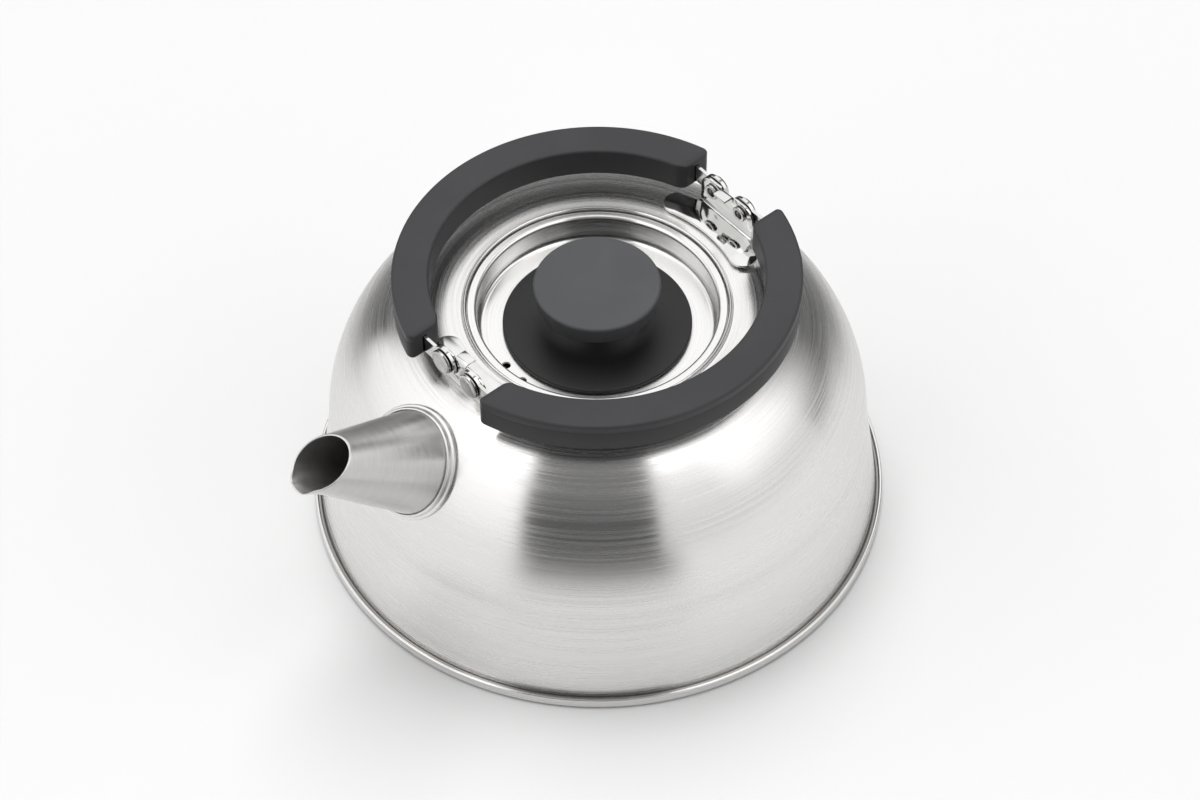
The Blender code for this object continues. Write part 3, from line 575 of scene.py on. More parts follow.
def makeBase():
    sheet, lift = basePan["sheet"], basePan["rimLift"]
    hemInside = body["flangeRadius"] + gap
    hemOutside = hemInside + sheet
    lipLow = body["flangeHigh"] + gap
    lipTop = lipLow + sheet
    lipInside = hemOutside - basePan["lipWidth"]
    foot = body["footRadius"] - basePan["footInset"]
    rim = foot + basePan["rimSlope"]
    outline = filleted([
        (0.0, 0.0, 0.0), (foot, 0.0, basePan["footRounding"]), (rim, lift, basePan["rimRounding"]),
        (hemOutside, lift, basePan["rounding"]), (hemOutside, lipTop, basePan["topRounding"]),
        (lipInside, lipTop, basePan["lipInsideRounding"]), (lipInside, lipLow, basePan["lipLowRounding"]),
        (hemInside, lipLow, 0.0), (hemInside, lift + sheet, 0.0), (rim, lift + sheet, 0.0),
        (foot, sheet, 0.0), (0.0, sheet, 0.0)], closed=False)
    pan = turned("basePan", outline, baseSteel, body["steps"])
    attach(pan, "kettle")
    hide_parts("base_pan")


# Spout and its collar

def newRows(bm, rings):
    return [[bm.verts.new(point) for point in ring] for ring in rings]


def bridge(bm, rows):
    # faces between each ring of points and the next
    for low, high in zip(rows, rows[1:]):
        for i in range(len(low)):
            j = (i + 1) % len(low)
            bm.faces.new((low[i], low[j], high[j], high[i]))


def loftedMesh(name, rings, closed):
    bm = bmesh.new()
    rows = newRows(bm, rings)
    if closed:
        rows.append(rows[0])
    else:
        bm.faces.new(rows[0])
        bm.faces.new(rows[-1])
    bridge(bm, rows)
    return meshFrom(bm, name)


def spoutDirection(turn):
    return spoutUp * cos(turn) + spoutSide * sin(turn)


def conePoint(turn, along, grow):
    taper = (spout["rootRadius"] - spout["mouthRadius"]) / spout["length"]
    radius = spout["rootRadius"] - taper * along + grow
    return spoutRoot + spoutAxis * along + spoutDirection(turn) * radius


def halveTo(pointAt, grow):
    # how far along a line it meets the dome, grown by this much
    low = -spout["rootRadius"]
    high = spout["rootRadius"]
    for _ in range(spout["halvings"]):
        middle = (low + high) / 2
        if outsideDome(pointAt(middle), grow) > 0.0:
            high = middle
        else:
            low = middle
    return middle


def coneAtMouth(turn, grow):
    normal = Vector((cos(spout["cutAngle"]), 0.0, sin(spout["cutAngle"])))
    centre = spoutRoot + spoutAxis * spout["length"]
    start = conePoint(turn, 0.0, grow)
    step = conePoint(turn, spout["length"], grow) - start
    return spout["length"] * (centre - start).dot(normal) / step.dot(normal)


def lipShare(turn):
    away = abs(turn - pi)
    if away <= spout["lipFlat"]:
        return 1.0
    if away >= spout["lipEnd"]:
        return 0.0
    return 0.5 + 0.5 * cos(pi * (away - spout["lipFlat"]) / (spout["lipEnd"] - spout["lipFlat"]))


def makeSpout():
    turns = [2 * pi * i / spout["steps"] for i in range(spout["steps"])]

    def tubeRing(share, grow):
        points = []
        bendShare = max(0.0, (share - spout["lipStart"]) / (1.0 - spout["lipStart"])) ** 2
        for turn in turns:
            root = halveTo(lambda along: conePoint(turn, along, grow), gap)
            along = root + (coneAtMouth(turn, grow) - root) * share
            bend = spout["lipLength"] * lipShare(turn) * bendShare
            points.append(conePoint(turn, along, grow) + spoutDirection(turn) * bend)
        return points

    inner = -spout["thinSheet"]
    edge = spout["thinSheet"] * spout["edgeShare"]
    rings = [tubeRing(share, 0.0) for share in spout["shares"]]
    rings += [tubeRing(spout["tipShare"], grow) for grow in (-edge, inner + edge)]
    rings += [tubeRing(share, inner) for share in reversed(spout["shares"])]
    tube = meshObject("spoutTube", loftedMesh("spoutTube", rings, True))
    tube.data.materials.append(spoutSteel)
    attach(tube, "kettle")
    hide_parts("spout_tube")

    def collarRing(beyond, height):
        points = []
        for turn in turns:
            foot = spoutRoot + spoutDirection(turn) * (spout["rootRadius"] + beyond)
            along = halveTo(lambda reach: foot + spoutAxis * reach, height)
            points.append(foot + spoutAxis * along)
        return points

    def collarInside(height):
        return [conePoint(turn, halveTo(lambda along: conePoint(turn, along, gap), height), gap)
                for turn in turns]

    # outline across the collar: how far it stands beyond the tube's root, and how high on the dome
    outer = spout["collarWidth"]
    step = outer - spout["collarStep"]
    low = gap + spout["collarEdge"]
    top = gap + spout["collarRise"]
    across = filleted([(outer, gap, fineRound), (outer, low, softRound), (step, low, smallRound),
                       (step, top, spout["collarRounding"]), (-spout["collarOverlap"], top, 0.0)],
                      closed=False)
    rings = [collarInside(gap)]
    rings += [collarRing(beyond, height) for beyond, height in across[:-1]]
    rings += [collarInside(top)]
    collar = meshObject("spoutCollar", loftedMesh("spoutCollar", rings, True))
    collar.data.materials.append(collarSteel)
    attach(collar, "kettle")
    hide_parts("spout_collar")


spoutTilt = (0.0, pi / 2 - spout["angle"], 0.0)
spoutSteel = brushedSteel("spoutSteel", spoutLook, spoutTilt, spoutRoot, spoutAxis)
collarSteel = brushedSteel("collarSteel", collarLook, spoutTilt, spoutRoot, spoutAxis)


# Lid and knob

lid = {
    "sheet": 0.0007, "rimLow": 0.0819, "rimTop": 0.0826, "rimRadius": 0.0397, "rimRounding": 0.0003,
    "wall": 0.0376, "shoulder": 0.0011, "floor": 0.0743, "draft": 0.0005, "corner": 0.0016,
    "steamHole": 0.0014, "steamPlace": 0.0324, "steamAngle": radians(7.0), "steamTurn": radians(-2.1),
    "floorSteps": 6, "holeSteps": 40, "steps": 224,
}
knob = {
    "bore": 0.0028, "guardRadius": 0.0290, "guardLow": 0.0746, "guardEdge": 0.0013, "guardCrown": 0.0003,
    "guardSlope": 0.0030, "guardRounding": 0.0004, "stemRadius": 0.0095, "stemTop": 0.0853,
    "stemFlare": 0.0085, "capLow": 0.0856, "capHeight": 0.0070, "capRadius": 0.0196, "capDraft": 0.0012,
    "capRounding": 0.0009, "flareSteps": 14,
}


def makeLid():
    sheet, wall, floor = lid["sheet"], lid["wall"], lid["floor"]
    rim, top, low = lid["rimRadius"], lid["rimTop"], lid["rimLow"]
    innerWall = wall - sheet
    under = floor - sheet
    flat = innerWall - lid["draft"] - lid["corner"] - knob["bore"]
    corners = [(knob["bore"] + flat * i / lid["floorSteps"], floor, 0.0) for i in range(lid["floorSteps"])]
    corners += [(innerWall - lid["draft"], floor, lid["corner"]), (innerWall, top, lid["shoulder"]),
                (rim, top, lid["rimRounding"]), (rim, low, smallRound), (wall, low, lid["shoulder"] - sheet),
                (wall - lid["draft"], under, lid["corner"] + sheet), (knob["bore"], under, 0.0)]
    pan = turned("lidPan", closedOutline(corners), lidSteel, lid["steps"])
    holes = []
    for turn in (lid["steamTurn"] - lid["steamAngle"], lid["steamTurn"] + lid["steamAngle"]):
        spot = (lid["steamPlace"] * cos(turn), lid["steamPlace"] * sin(turn))
        holes.append(barMesh("steamHole", (*spot, under - sheet), (*spot, floor + sheet),
                             lid["steamHole"], lid["holeSteps"]))
    cutOut(pan, holes)
    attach(pan, "lid")
    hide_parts("lid_pan")


def makeKnob():
    bore, stem, radius = knob["bore"], knob["stemTop"], knob["guardRadius"]
    low = knob["guardLow"]
    edge = low + knob["guardEdge"]
    top = edge + knob["guardCrown"]
    corners = [(bore, stem, 0.0)]
    for i in range(knob["flareSteps"] + 1):
        turn = pi / 2 * i / knob["flareSteps"]
        corners.append((knob["stemRadius"] + knob["stemFlare"] * (1 - cos(turn)),
                        stem - (stem - top) * sin(turn), 0.0))
    corners += [(radius - knob["guardSlope"], top, 0.0), (radius, edge, knob["guardRounding"]),
                (radius, low, smallRound), (bore, low, 0.0)]
    guard = turned("knobGuard", closedOutline(corners), guardPlastic)
    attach(guard, "lid")
    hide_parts("knob_base")

    low, radius, rounding = knob["capLow"], knob["capRadius"], knob["capRounding"]
    top = low + knob["capHeight"]
    outline = filleted([(0.0, top, 0.0), (radius, top, rounding), (radius - knob["capDraft"], low, rounding),
                        (0.0, low, 0.0)], closed=False)
    cap = turned("knobCap", outline, knobPlastic)
    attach(cap, "lid")
    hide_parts("knob")


# Handle: brackets, rivets, straps and grips

hinge = {
    "pivotY": 0.0063, "pivotZ": 0.0919, "plateX": 0.05346, "sheet": 0.0008, "bend": 0.0008,
    "plateWidth": 0.0233, "plateTop": 0.0959, "plateCorner": 0.0044, "tongueWidth": 0.0050,
    "tongueLength": 0.0025, "tongueRise": 0.0002, "tongueSlot": 0.0005,
    "footLow": 0.0838, "footInner": 0.0440, "footLength": 0.0390, "footEnd": 0.0088,
    "footEndAngle": radians(30.0), "boreReach": 0.001, "boreSteps": 32, "edge": 0.00016,
    "footSteps": 36, "footEndSteps": 24, "cornerSteps": 14,
}
rivet = {
    "headLow": 0.0016, "headHeight": 0.0009, "headRadius": 0.0041, "headEdge": 0.0003, "shank": 0.00175,
    "tailRadius": 0.0026, "tailHeight": 0.0007, "hollowRadius": 0.00155, "hollowDepth": 0.0018,
    "dishDepth": 0.00035, "dishPlace": 0.55, "dishRise": 0.25, "dishRounding": 0.0015,
    "rimWidth": 0.0009, "rimSlope": 0.00012, "rimDrop": 0.00005, "thinRounding": 0.00015,
    "tailRounding": 0.0004, "hollowTaper": 0.9, "steps": 64,
}
strap = {
    "radius": 0.0564, "sheet": 0.0010, "height": 0.0062, "bendPlace": 0.0154, "eyeRadius": 0.0050,
    "eyeTip": radians(4.0), "eyeSteps": 40, "steps": 72, "bore": 0.00205, "boreSteps": 48,
    "edge": 0.00016, "edgeAngle": radians(50.0),
}
grip = {
    "inner": 0.0507, "outer": 0.0621, "low": 0.0879, "top": 0.0979, "end": 0.0156, "corner": 0.0026,
    "topShare": 0.5, "lowShare": 0.14, "edge": 0.0007, "edgeLoss": 0.4, "edgeLeast": 0.00015,
    "topEdge": 1.4, "seam": 0.0029, "seamDepth": 0.00008, "seamWidth": 0.00025, "steps": 97,
    "slotDepth": 0.0030, "endSteps": 8, "sharpAngle": radians(40.0),
}


def arcPoints(centre, radius, start, end, steps=12):
    turns = [start + (end - start) * i / steps for i in range(steps + 1)]
    return [(centre[0] + radius * cos(turn), centre[1] + radius * sin(turn)) for turn in turns]


def extrudedMesh(name, outline, along):
    bm = bmesh.new()
    face = bm.faces.new([bm.verts.new(point) for point in outline])
    drawn = bmesh.ops.extrude_face_region(bm, geom=[face])
    moved = [item for item in drawn["geom"] if isinstance(item, bmesh.types.BMVert)]
    bmesh.ops.translate(bm, verts=moved, vec=along)
    return meshFrom(bm, name)


def joined(name, meshes, cutters):
    # unions the meshes and cuts the cutters out, as one object
    jobs = [(mesh, "UNION") for mesh in meshes[1:]] + [(mesh, "DIFFERENCE") for mesh in cutters]
    return combined(meshObject(name, meshes[0]), jobs)


def bracketFoot():
    # the foot as seen from above: a ring's part with round ends, and a straight outer edge under the plate
    endRadius = hinge["footEnd"] / 2
    middle = hinge["footInner"] + endRadius
    endTurn = asin((hinge["footLength"] / 2 - endRadius) / middle)
    endCentre = (middle * cos(endTurn), middle * sin(endTurn))
    inner = arcPoints((0.0, 0.0), hinge["footInner"], -endTurn, endTurn, hinge["footSteps"])
    left = arcPoints(endCentre, endRadius, endTurn + pi, endTurn + hinge["footEndAngle"],
                     hinge["footEndSteps"])
    right = [(x, -y) for x, y in reversed(left)]
    outer = hinge["plateX"] - hinge["bend"] - hinge["sheet"]
    half = hinge["plateWidth"] / 2 - hinge["sheet"]
    return inner + left[1:] + [(outer, half), (outer, -half)] + right[:-1]


def makeBracketMesh():
    sheet, bend, face = hinge["sheet"], hinge["bend"], hinge["plateX"]
    low, top, corner = hinge["footLow"], hinge["plateTop"], hinge["plateCorner"]
    outerBend = bend + sheet
    foot = extrudedMesh("foot", [(x, y, low) for x, y in bracketFoot()], (0, 0, sheet))

    # the plate as seen along X, with round upper corners, and its bend as seen along Y
    half = hinge["plateWidth"] / 2
    centre = (face - outerBend, low + outerBend)
    front = [(-half, centre[1]), (half, centre[1])]
    front += arcPoints((half - corner, top - corner), corner, 0.0, pi / 2, hinge["cornerSteps"])
    front += arcPoints((corner - half, top - corner), corner, pi / 2, pi, hinge["cornerSteps"])
    plate = extrudedMesh("plate", [(face, y, z) for y, z in front], (-sheet, 0, 0))
    side = arcPoints(centre, outerBend, -pi / 2, 0.0) + arcPoints(centre, bend, 0.0, -pi / 2)
    elbow = extrudedMesh("bend", [(x, -half, z) for x, z in side], (0, 2 * half, 0))

    # the tongue bends in level between two slots in the plate's top edge
    half = hinge["tongueWidth"] / 2
    centre = (face - outerBend, top + hinge["tongueRise"] - outerBend)
    slotLow = centre[1] - hinge["tongueSlot"]
    slotHalf = half + hinge["tongueSlot"]
    slot = [(face - 2 * sheet, y, slotLow) for y in (-slotHalf, slotHalf)]
    slot += [(face + sheet, y, slotLow) for y in (slotHalf, -slotHalf)]
    tip = centre[0] - hinge["tongueLength"]
    side = [(face, slotLow - sheet)] + arcPoints(centre, outerBend, 0.0, pi / 2)
    side += [(tip, centre[1] + outerBend), (tip, centre[1] + bend)]
    side += arcPoints(centre, bend, pi / 2, 0.0) + [(face - sheet, slotLow - sheet)]
    tongue = extrudedMesh("tongue", [(x, -half, z) for x, z in side], (0, 2 * half, 0))
    return foot, plate, elbow, tongue, extrudedMesh("slot", slot, (0, 0, top))


def pivotBore(start, end, y, steps):
    return barMesh("bore", (start, y, hinge["pivotZ"]), (end, y, hinge["pivotZ"]), strap["bore"], steps)


def turnedAbout(piece, turn, material):
    # turns the mesh about Z and gives it one material
    piece.data.transform(Matrix.Rotation(turn, 4, "Z"))
    piece.data.materials.clear()
    piece.data.materials.append(material)


def makeBrackets():
    face, reach = hinge["plateX"], hinge["boreReach"]
    for end, turn in (("front", 0.0), ("rear", pi)):
        foot, plate, bend, tongue, slot = makeBracketMesh()
        slotted = joined(end + "Plate", [plate], [slot])
        bores = [pivotBore(face - 2 * reach, face + reach, y, hinge["boreSteps"])
                 for y in (-hinge["pivotY"], hinge["pivotY"])]
        bracket = joined(end + "Bracket", [foot, bend, slotted.data, tongue], bores)
        bpy.data.objects.remove(slotted, do_unlink=True)
        bevelled(bracket, hinge["edge"], 2)
        turnedAbout(bracket, turn, bracketSteel)
        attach(bracket, "kettle")
        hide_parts(end + "_bracket")


def makeRivetTree():
    # puts a copy of the rivet on each pivot point
    tree, given = newPieceTree("rivetsOnPivots", [("Rivet", "Object"), ("Turn", "Vector")])
    shape = newNode(tree, "GeometryNodeObjectInfo", {"Object": given["Rivet"]})
    copies = newNode(tree, "GeometryNodeInstanceOnPoints", {
        "Points": given["Geometry"], "Instance": shape.outputs["Geometry"], "Rotation": given["Turn"]})
    finishTree(copies.outputs[0], given["Material"])
    return tree


def makeRivets():
    head, low, shank = rivet["headRadius"], rivet["headLow"], rivet["shank"]
    tail, hollow, thin = rivet["tailRadius"], rivet["hollowRadius"], rivet["thinRounding"]
    top = low + rivet["headHeight"]
    tailTop = -hinge["sheet"] - gap
    tailLow = tailTop - rivet["tailHeight"]
    deep = tailLow + rivet["hollowDepth"]
    lowered = top - rivet["dishDepth"]
    dish = (rivet["dishPlace"], lowered + rivet["dishDepth"] * rivet["dishRise"], rivet["dishRounding"])
    rim = head - rivet["rimWidth"]
    corners = [(0.0, lowered, 0.0), (rim * dish[0], *dish[1:]), (rim, top - rivet["rimDrop"], fineRound),
               (rim + rivet["rimSlope"], top, rivet["rimDrop"]),
               (head - smallRound, top - fineRound, smallRound),
               (head, low + rivet["headEdge"], smallRound), (head, low, fineRound), (shank, low, 0.0),
               (shank, tailTop, 0.0), (tail, tailTop, thin), (tail, tailLow, rivet["tailRounding"]),
               (hollow, tailLow, thin), (hollow * rivet["hollowTaper"], deep, softRound), (0.0, deep, 0.0)]
    shape = turned("rivetShape", filleted(corners, closed=False), rivetSteel, rivet["steps"])
    tree = makeRivetTree()
    for end, side in (("front", 1.0), ("rear", -1.0)):
        pivots = [(side * hinge["plateX"], y, hinge["pivotZ"]) for y in (-hinge["pivotY"], hinge["pivotY"])]
        mesh = bpy.data.meshes.new(end + "Rivets")
        mesh.from_pydata(pivots, [], [])
        rivets = runTree(meshObject(end + "Rivets", mesh), tree, {
            "Rivet": shape, "Turn": (0.0, side * pi / 2, 0.0), "Material": rivetSteel})
        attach(rivets, "kettle")
        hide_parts(end + "_left_rivet", end + "_right_rivet")
    bpy.data.objects.remove(shape, do_unlink=True)


def stripMesh():
    # the left half ring of sheet on edge, with a round eye at each end, as columns along its run
    half, stop, radius = strap["sheet"] / 2, strap["height"] / 2, strap["radius"]
    bendPlace = strap["bendPlace"]
    endX = sqrt(radius ** 2 - bendPlace ** 2)

    def column(inner, outer, rise):
        low = hinge["pivotZ"] - rise
        high = hinge["pivotZ"] + rise
        return [(*inner, low), (*outer, low), (*outer, high), (*inner, high)]

    rings = []
    lastTurn = pi - asin(stop / strap["eyeRadius"])
    for i in range(strap["eyeSteps"] + 1):
        turn = strap["eyeTip"] + (lastTurn - strap["eyeTip"]) * i / strap["eyeSteps"]
        y = hinge["pivotY"] - strap["eyeRadius"] * cos(turn)
        rings.append(column((endX - half, y), (endX + half, y), strap["eyeRadius"] * sin(turn)))
    eye = [[(-x, y, z) for x, y, z in ring] for ring in reversed(rings)]
    start = asin(bendPlace / radius)
    for i in range(strap["steps"] + 1):
        turn = start + (pi - 2 * start) * i / strap["steps"]
        inner, outer = [(r * cos(turn), r * sin(turn)) for r in (radius - half, radius + half)]
        rings.append(column(inner, outer, stop))
    return loftedMesh("strip", rings + eye, False), endX


def makeStraps():
    for name, turn in (("left", 0.0), ("right", pi)):
        mesh, endX = stripMesh()
        bores = [pivotBore(x - hinge["boreReach"], x + hinge["boreReach"], hinge["pivotY"],
                           strap["boreSteps"]) for x in (-endX, endX)]
        piece = cutOut(meshObject(name + "Strap", mesh), bores)
        bevelled(piece, strap["edge"], 2, strap["edgeAngle"])
        turnedAbout(piece, turn, strapSteel)
        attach(piece, name + "_handle")
        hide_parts(name + "_strap")


def gripSection(inset):
    # its points, as distance from the axis and height, with round corners and a moulding line outside
    edge = max(grip["edgeLeast"], grip["edge"] - grip["edgeLoss"] * inset)
    seamTop = grip["top"] - grip["seam"]
    seamLow = seamTop - grip["seamWidth"]
    outer = grip["outer"] - inset
    inner = grip["inner"] + inset
    low = grip["low"] + inset * grip["lowShare"]
    top = grip["top"] - inset * grip["topShare"]
    return filleted([(inner, low, edge), (outer, low, edge), (outer, seamLow, 0.0),
                     (outer - grip["seamDepth"], (seamLow + seamTop) / 2, 0.0), (outer, seamTop, 0.0),
                     (outer, top, edge * grip["topEdge"]), (inner, top, edge * grip["topEdge"])])


def atWidth(section, side, y):
    # where the points of a section lie when its half ring crosses this y
    return [(side * sqrt(r ** 2 - y ** 2), y, z) for r, z in section]


def makeGripTree():
    # sweeps the section round the half ring; the first and last columns lie in one plane across Y
    tree, given = newPieceTree("sweptGrip", [("Start", "Float"), ("Columns", "Int"), ("Points", "Int")])
    mesh, column, point = countedGrid(given["Columns"], given["Points"])
    parts = outlinePoint(given["Geometry"], point)
    first = maths("ARCSINE", over(given["Start"], parts[0]))
    share = over(column, minus(given["Columns"], 1.0))
    turn = plus(first, times(minus(pi, times(first, 2.0)), share))
    finishTree(placedRound(mesh, parts[0], turn, parts[2]), given["Material"])
    return tree


def sweptRun(name, tree, outline, start, columns):
    mesh = bpy.data.meshes.new(name)
    mesh.from_pydata([(point[0], 0.0, point[1]) for point in outline + outline[:1]], [], [])
    return runTree(meshObject(name, mesh), tree, {
        "Start": start, "Columns": columns, "Points": len(outline) + 1, "Material": gripPlastic})


def makeGrips():
    end, corner, steps = grip["end"], grip["corner"], grip["endSteps"]
    main = sweptRun("gripRun", makeGripTree(), gripSection(0.0), end + corner, grip["steps"])
    halfSlot = strap["sheet"] / 2 + gap
    halfHeight = strap["height"] / 2 + gap
    low = hinge["pivotZ"] - halfHeight
    high = hinge["pivotZ"] + halfHeight
    slot = [(strap["radius"] - halfSlot, low), (strap["radius"] + halfSlot, low),
            (strap["radius"] + halfSlot, high), (strap["radius"] - halfSlot, high)]
    for name, turn in (("left", 0.0), ("right", pi)):
        bm = bmesh.new()
        bm.from_mesh(main.data)
        # each end closes through rings that draw in round its corners, down to the slot round the strap
        for side in (1.0, -1.0):
            rings = []
            for i in range(steps + 1):
                away = pi / 2 * i / steps
                section = gripSection(corner * (1 - cos(away)))
                rings.append(atWidth(section, side, end + corner * (1 - sin(away))))
            rows = newRows(bm, rings)
            bridge(bm, rows)
            inside, deep = newRows(bm, [atWidth(slot, side, y) for y in (end, end + grip["slotDepth"])])
            last = rows[-1]
            edges = [bm.edges.get(pair) for pair in zip(last, last[1:] + last[:1])]
            edges += [bm.edges.new(pair) for pair in zip(inside, inside[1:] + inside[:1])]
            bmesh.ops.triangle_fill(bm, edges=edges, use_beauty=True)
            bridge(bm, [inside, deep])
            bm.faces.new(deep)
        piece = meshObject(name + "Grip", meshFrom(bm, name + "Grip", grip["sharpAngle"]))
        turnedAbout(piece, turn, gripPlastic)
        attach(piece, name + "_handle")
        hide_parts(name + "_grip")
    bpy.data.objects.remove(main, do_unlink=True)


print("frame loaded, building the body")
makeBody()
makeBase()
print("spout")
makeSpout()
print("lid and knob")
makeLid()
makeKnob()
print("brackets, rivets and handles")
makeBrackets()
makeRivets()
makeStraps()
makeGrips()


# Floor, studio and camera

studio = {
    "floorColour": (0.622, 0.622, 0.622), "floorRoughness": 0.75, "floorSpecular": 0.2,
    "floorHalf": 3.0, "floorDrop": 0.0002, "floorClouds": 6.0, "floorDetail": 2.0, "floorFade": 0.995,
    "lampPower": 2.1, "lampHeight": 70.0, "lampSpread": 38.0, "lampSide": 12.0,
    "cameraPlace": (0.46607, 0.54763, 0.86839), "cameraAim": (-0.42488, -0.49831, -0.75575),
    "cameraRoll": -0.0057, "lens": 105.0, "sensor": 36.0, "clipStart": 0.01,
    # panels of the studio: middle and half width round Z in degrees, lower and upper edge in degrees,
    # softness sideways and upwards in degrees, brightness; azimuth is counted from the camera's side
    "panels": (
        ("leftBox", -62.0, 66.0, -2.0, 100.0, 10.0, 12.0, 1.40),
        ("leftTop", -78.0, 44.0, 56.0, 84.0, 30.0, 24.0, 2.60),
        ("rightNear", 50.0, 50.0, -2.0, 100.0, 10.0, 12.0, 1.00),
        ("rightBox", 82.0, 34.0, 12.0, 100.0, 44.0, 40.0, 1.50),
        ("rightTop", 74.0, 40.0, 56.0, 84.0, 30.0, 24.0, 2.50),
        ("rearBox", 180.0, 42.0, 29.0, 95.0, 24.0, 8.0, 1.30),
    ),
    # the dark gap between the side panels: half width and middle across the camera's line,
    # how much it narrows towards the top, and its brightness low down, half way up and at the top
    "gapHalf": 0.440, "gapMiddle": -0.05, "gapNarrow": 0.48, "gapPower": 3.0, "gapSoft": 0.045,
    "gapLow": 0.11, "gapMid": 0.22, "gapTop": 0.30, "gapMidRise": (25.0, 50.0), "gapTopRise": (62.0, 80.0),
    "gapAhead": (-0.10, 0.05),
    # where the floor looks darker in a mirror: half widths in degrees round Z, distances in metres
    "frontSector": 26.0, "frontSoft": 7.0, "frontStart": 0.10, "frontEnd": 0.36, "frontLevel": 0.20,
    "rearSector": 60.0, "rearSoft": 14.0,
    # the studio is a little weaker low down, and below that it goes over into the floor
    "lowShare": 0.80, "rise": (5.0, 50.0), "floorRise": (-4.0, -22.0),
    "dark": 0.13, "below": 0.85, "white": 0.955, "cameraAzimuth": 49.6,
}


def within(value, limit, soft):
    # 1 below the limit, 0 above it, eased between
    return smoothRise(value, limit + soft, limit - soft)


def lightPath(tree, ray):
    return newNode(tree, "ShaderNodeLightPath", {}).outputs[ray]


def makeWorld():
    world = bpy.data.worlds.new("studio")
    bpy.context.scene.world = world
    world.use_nodes = True
    tree = world.node_tree
    tree.nodes.clear()
    x, y, z = axesOf(placeIn(tree, "Generated"))
    height = times(maths("ARCSINE", z), 180 / pi)
    azimuth = minus(times(maths("ARCTAN2", y, x), 180 / pi), studio["cameraAzimuth"])
    light = studio["dark"]
    for name, middle, half, lowEdge, highEdge, softSide, softUp, level in studio["panels"]:
        away = maths("ABSOLUTE", maths("WRAP", minus(azimuth, middle), 180.0, -180.0))
        above = smoothRise(height, lowEdge - softUp / 2, lowEdge + softUp / 2)
        share = times(times(within(away, half, softSide / 2), above), within(height, highEdge, softUp / 2))
        light = maths("MAXIMUM", light, times(share, level))
    # the side panels leave a gap in front, narrower towards the top
    turn = times(azimuth, pi / 180)
    flat = maths("COSINE", times(height, pi / 180))
    aside = times(maths("SINE", turn), flat)
    ahead = times(maths("COSINE", turn), flat)
    up = maths("POWER", maths("MAXIMUM", z, 0.0), studio["gapPower"])
    narrow = minus(1.0, times(up, studio["gapNarrow"]))
    across = maths("ABSOLUTE", minus(over(aside, narrow), studio["gapMiddle"]))
    gapShare = times(within(across, studio["gapHalf"], studio["gapSoft"]),
                     smoothRise(ahead, *studio["gapAhead"]))
    gapLight = studio["gapLow"]
    for rise, change in ((studio["gapMidRise"], studio["gapMid"] - studio["gapLow"]),
                         (studio["gapTopRise"], studio["gapTop"] - studio["gapMid"])):
        gapLight = plus(gapLight, times(smoothRise(height, *rise), change))
    light = blended(gapShare, light, gapLight)
    climb = smoothRise(height, *studio["rise"])
    light = times(light, plus(times(climb, 1.0 - studio["lowShare"]), studio["lowShare"]))
    # the floor goes on beyond what is built of it
    light = blended(smoothRise(height, *studio["floorRise"]), light, studio["below"])
    # the camera sees plain white where the floor ends
    seen = newNode(tree, "ShaderNodeMix", {
        0: lightPath(tree, "Is Camera Ray"), 2: light, 3: studio["white"]}, data_type="FLOAT").outputs[0]
    ground = newNode(tree, "ShaderNodeBackground", {"Color": seen, "Strength": 1.0}).outputs[0]
    newNode(tree, "ShaderNodeOutputWorld", {"Surface": ground})


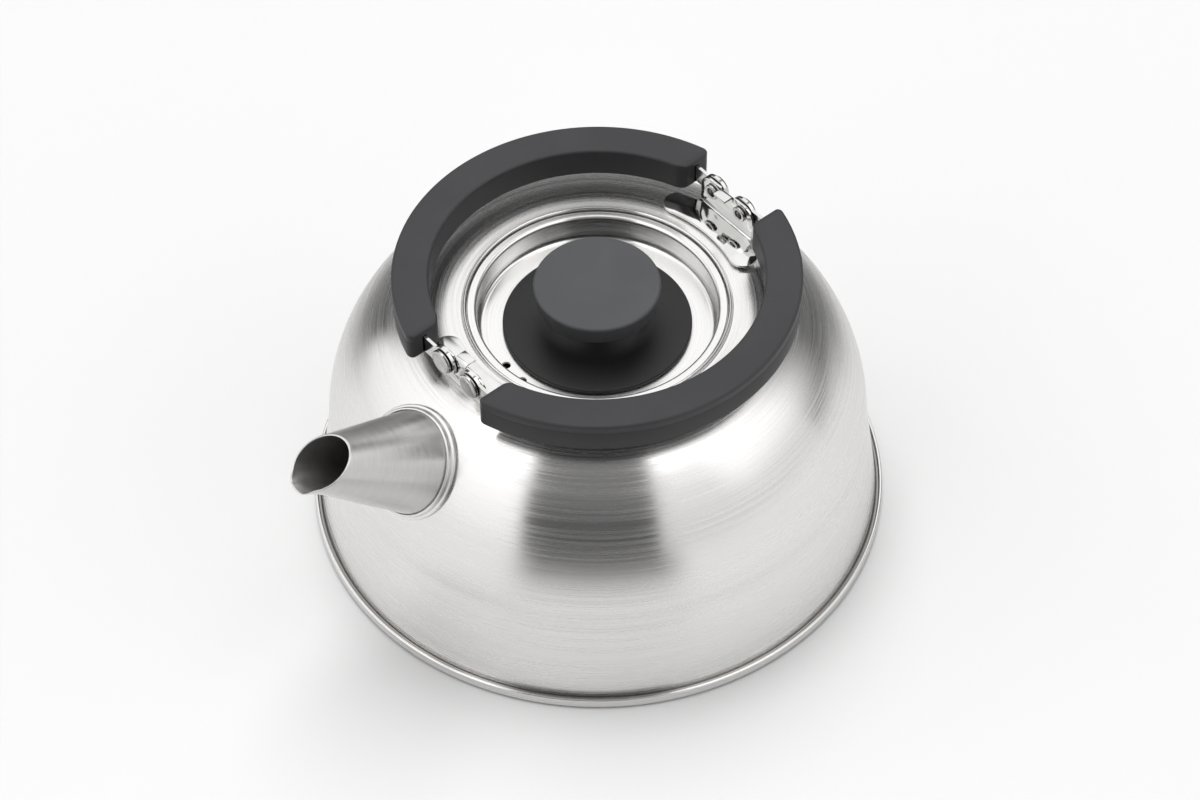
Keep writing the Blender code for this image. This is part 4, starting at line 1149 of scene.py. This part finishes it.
def makeFloor():
    # a large matt sheet that the kettle stands on
    bm = bmesh.new()
    bmesh.ops.create_grid(bm, x_segments=1, y_segments=1, size=studio["floorHalf"])
    mesh = bpy.data.meshes.new("floor")
    bm.to_mesh(mesh)
    bm.free()
    floor = meshObject("floor", mesh)
    floor.location.z = -studio["floorDrop"]
    material, tree, shader = newMaterial("floorPaper")
    place = placeIn(tree)
    noise = noiseOf(place, studio["floorClouds"], studio["floorDetail"])
    faded = tuple(studio["floorFade"] * value for value in studio["floorColour"])
    colour = mixedColour(noise, faded, studio["floorColour"])
    # painted reflection: only to glossy rays is the floor darker, a little way in front and behind, so the
    # kettle's mirror shows dark bands there
    x, y, z = axesOf(place)
    azimuth = times(maths("ARCTAN2", y, x), 180 / pi)
    side = maths("ABSOLUTE", minus(azimuth, studio["cameraAzimuth"]))
    front = within(side, studio["frontSector"], studio["frontSoft"])
    rear = within(maths("ABSOLUTE", minus(side, 180.0)), studio["rearSector"], studio["rearSoft"])
    far = smoothRise(awayFromAxis(x, y), studio["frontStart"], studio["frontEnd"])
    share = times(times(maths("MAXIMUM", front, rear), far), lightPath(tree, "Is Glossy Ray"))
    dim = tuple(studio["frontLevel"] * value for value in studio["floorColour"])
    feedAll(shader, {"Base Color": mixedColour(share, colour, dim), "Roughness": studio["floorRoughness"],
                     "Specular IOR Level": studio["floorSpecular"]})
    mesh.materials.append(material)


def makeLamp():
    # a broad lamp high behind the kettle, which gives the short shadow in front; mirrors don't show it
    data = bpy.data.lights.new("rearLamp", "SUN")
    data.energy = studio["lampPower"]
    data.angle = radians(studio["lampSpread"])
    lamp = bpy.data.objects.new("rearLamp", data)
    bpy.context.scene.collection.objects.link(lamp)
    turn = radians(studio["cameraAzimuth"] + 180.0 + studio["lampSide"])
    rise = radians(studio["lampHeight"])
    toLamp = Vector((cos(turn) * cos(rise), sin(turn) * cos(rise), sin(rise)))
    lamp.rotation_mode = "QUATERNION"
    lamp.rotation_quaternion = toLamp.to_track_quat("Z", "Y")
    lamp.visible_glossy = False


def makeCamera():
    data = bpy.data.cameras.new("camera")
    camera = bpy.data.objects.new("camera", data)
    bpy.context.scene.collection.objects.link(camera)
    data.lens = studio["lens"]
    data.sensor_width = studio["sensor"]
    data.clip_start = studio["clipStart"]
    aim = Vector(studio["cameraAim"])
    camera.rotation_mode = "QUATERNION"
    roll = Matrix.Rotation(studio["cameraRoll"], 3, "Z").to_quaternion()
    camera.rotation_quaternion = aim.to_track_quat("-Z", "Y") @ roll
    camera.location = studio["cameraPlace"]
    bpy.context.scene.camera = camera


# the screw and the washer under the knob keep the meshes of their solids
for nodeName in ("knob_screw", "knob_washer"):
    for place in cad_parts[nodeName].material_slots:
        place.material = rivetSteel

print("studio")
bpy.context.scene.view_settings.view_transform = "Standard"
makeWorld()
makeFloor()
makeLamp()
makeCamera()
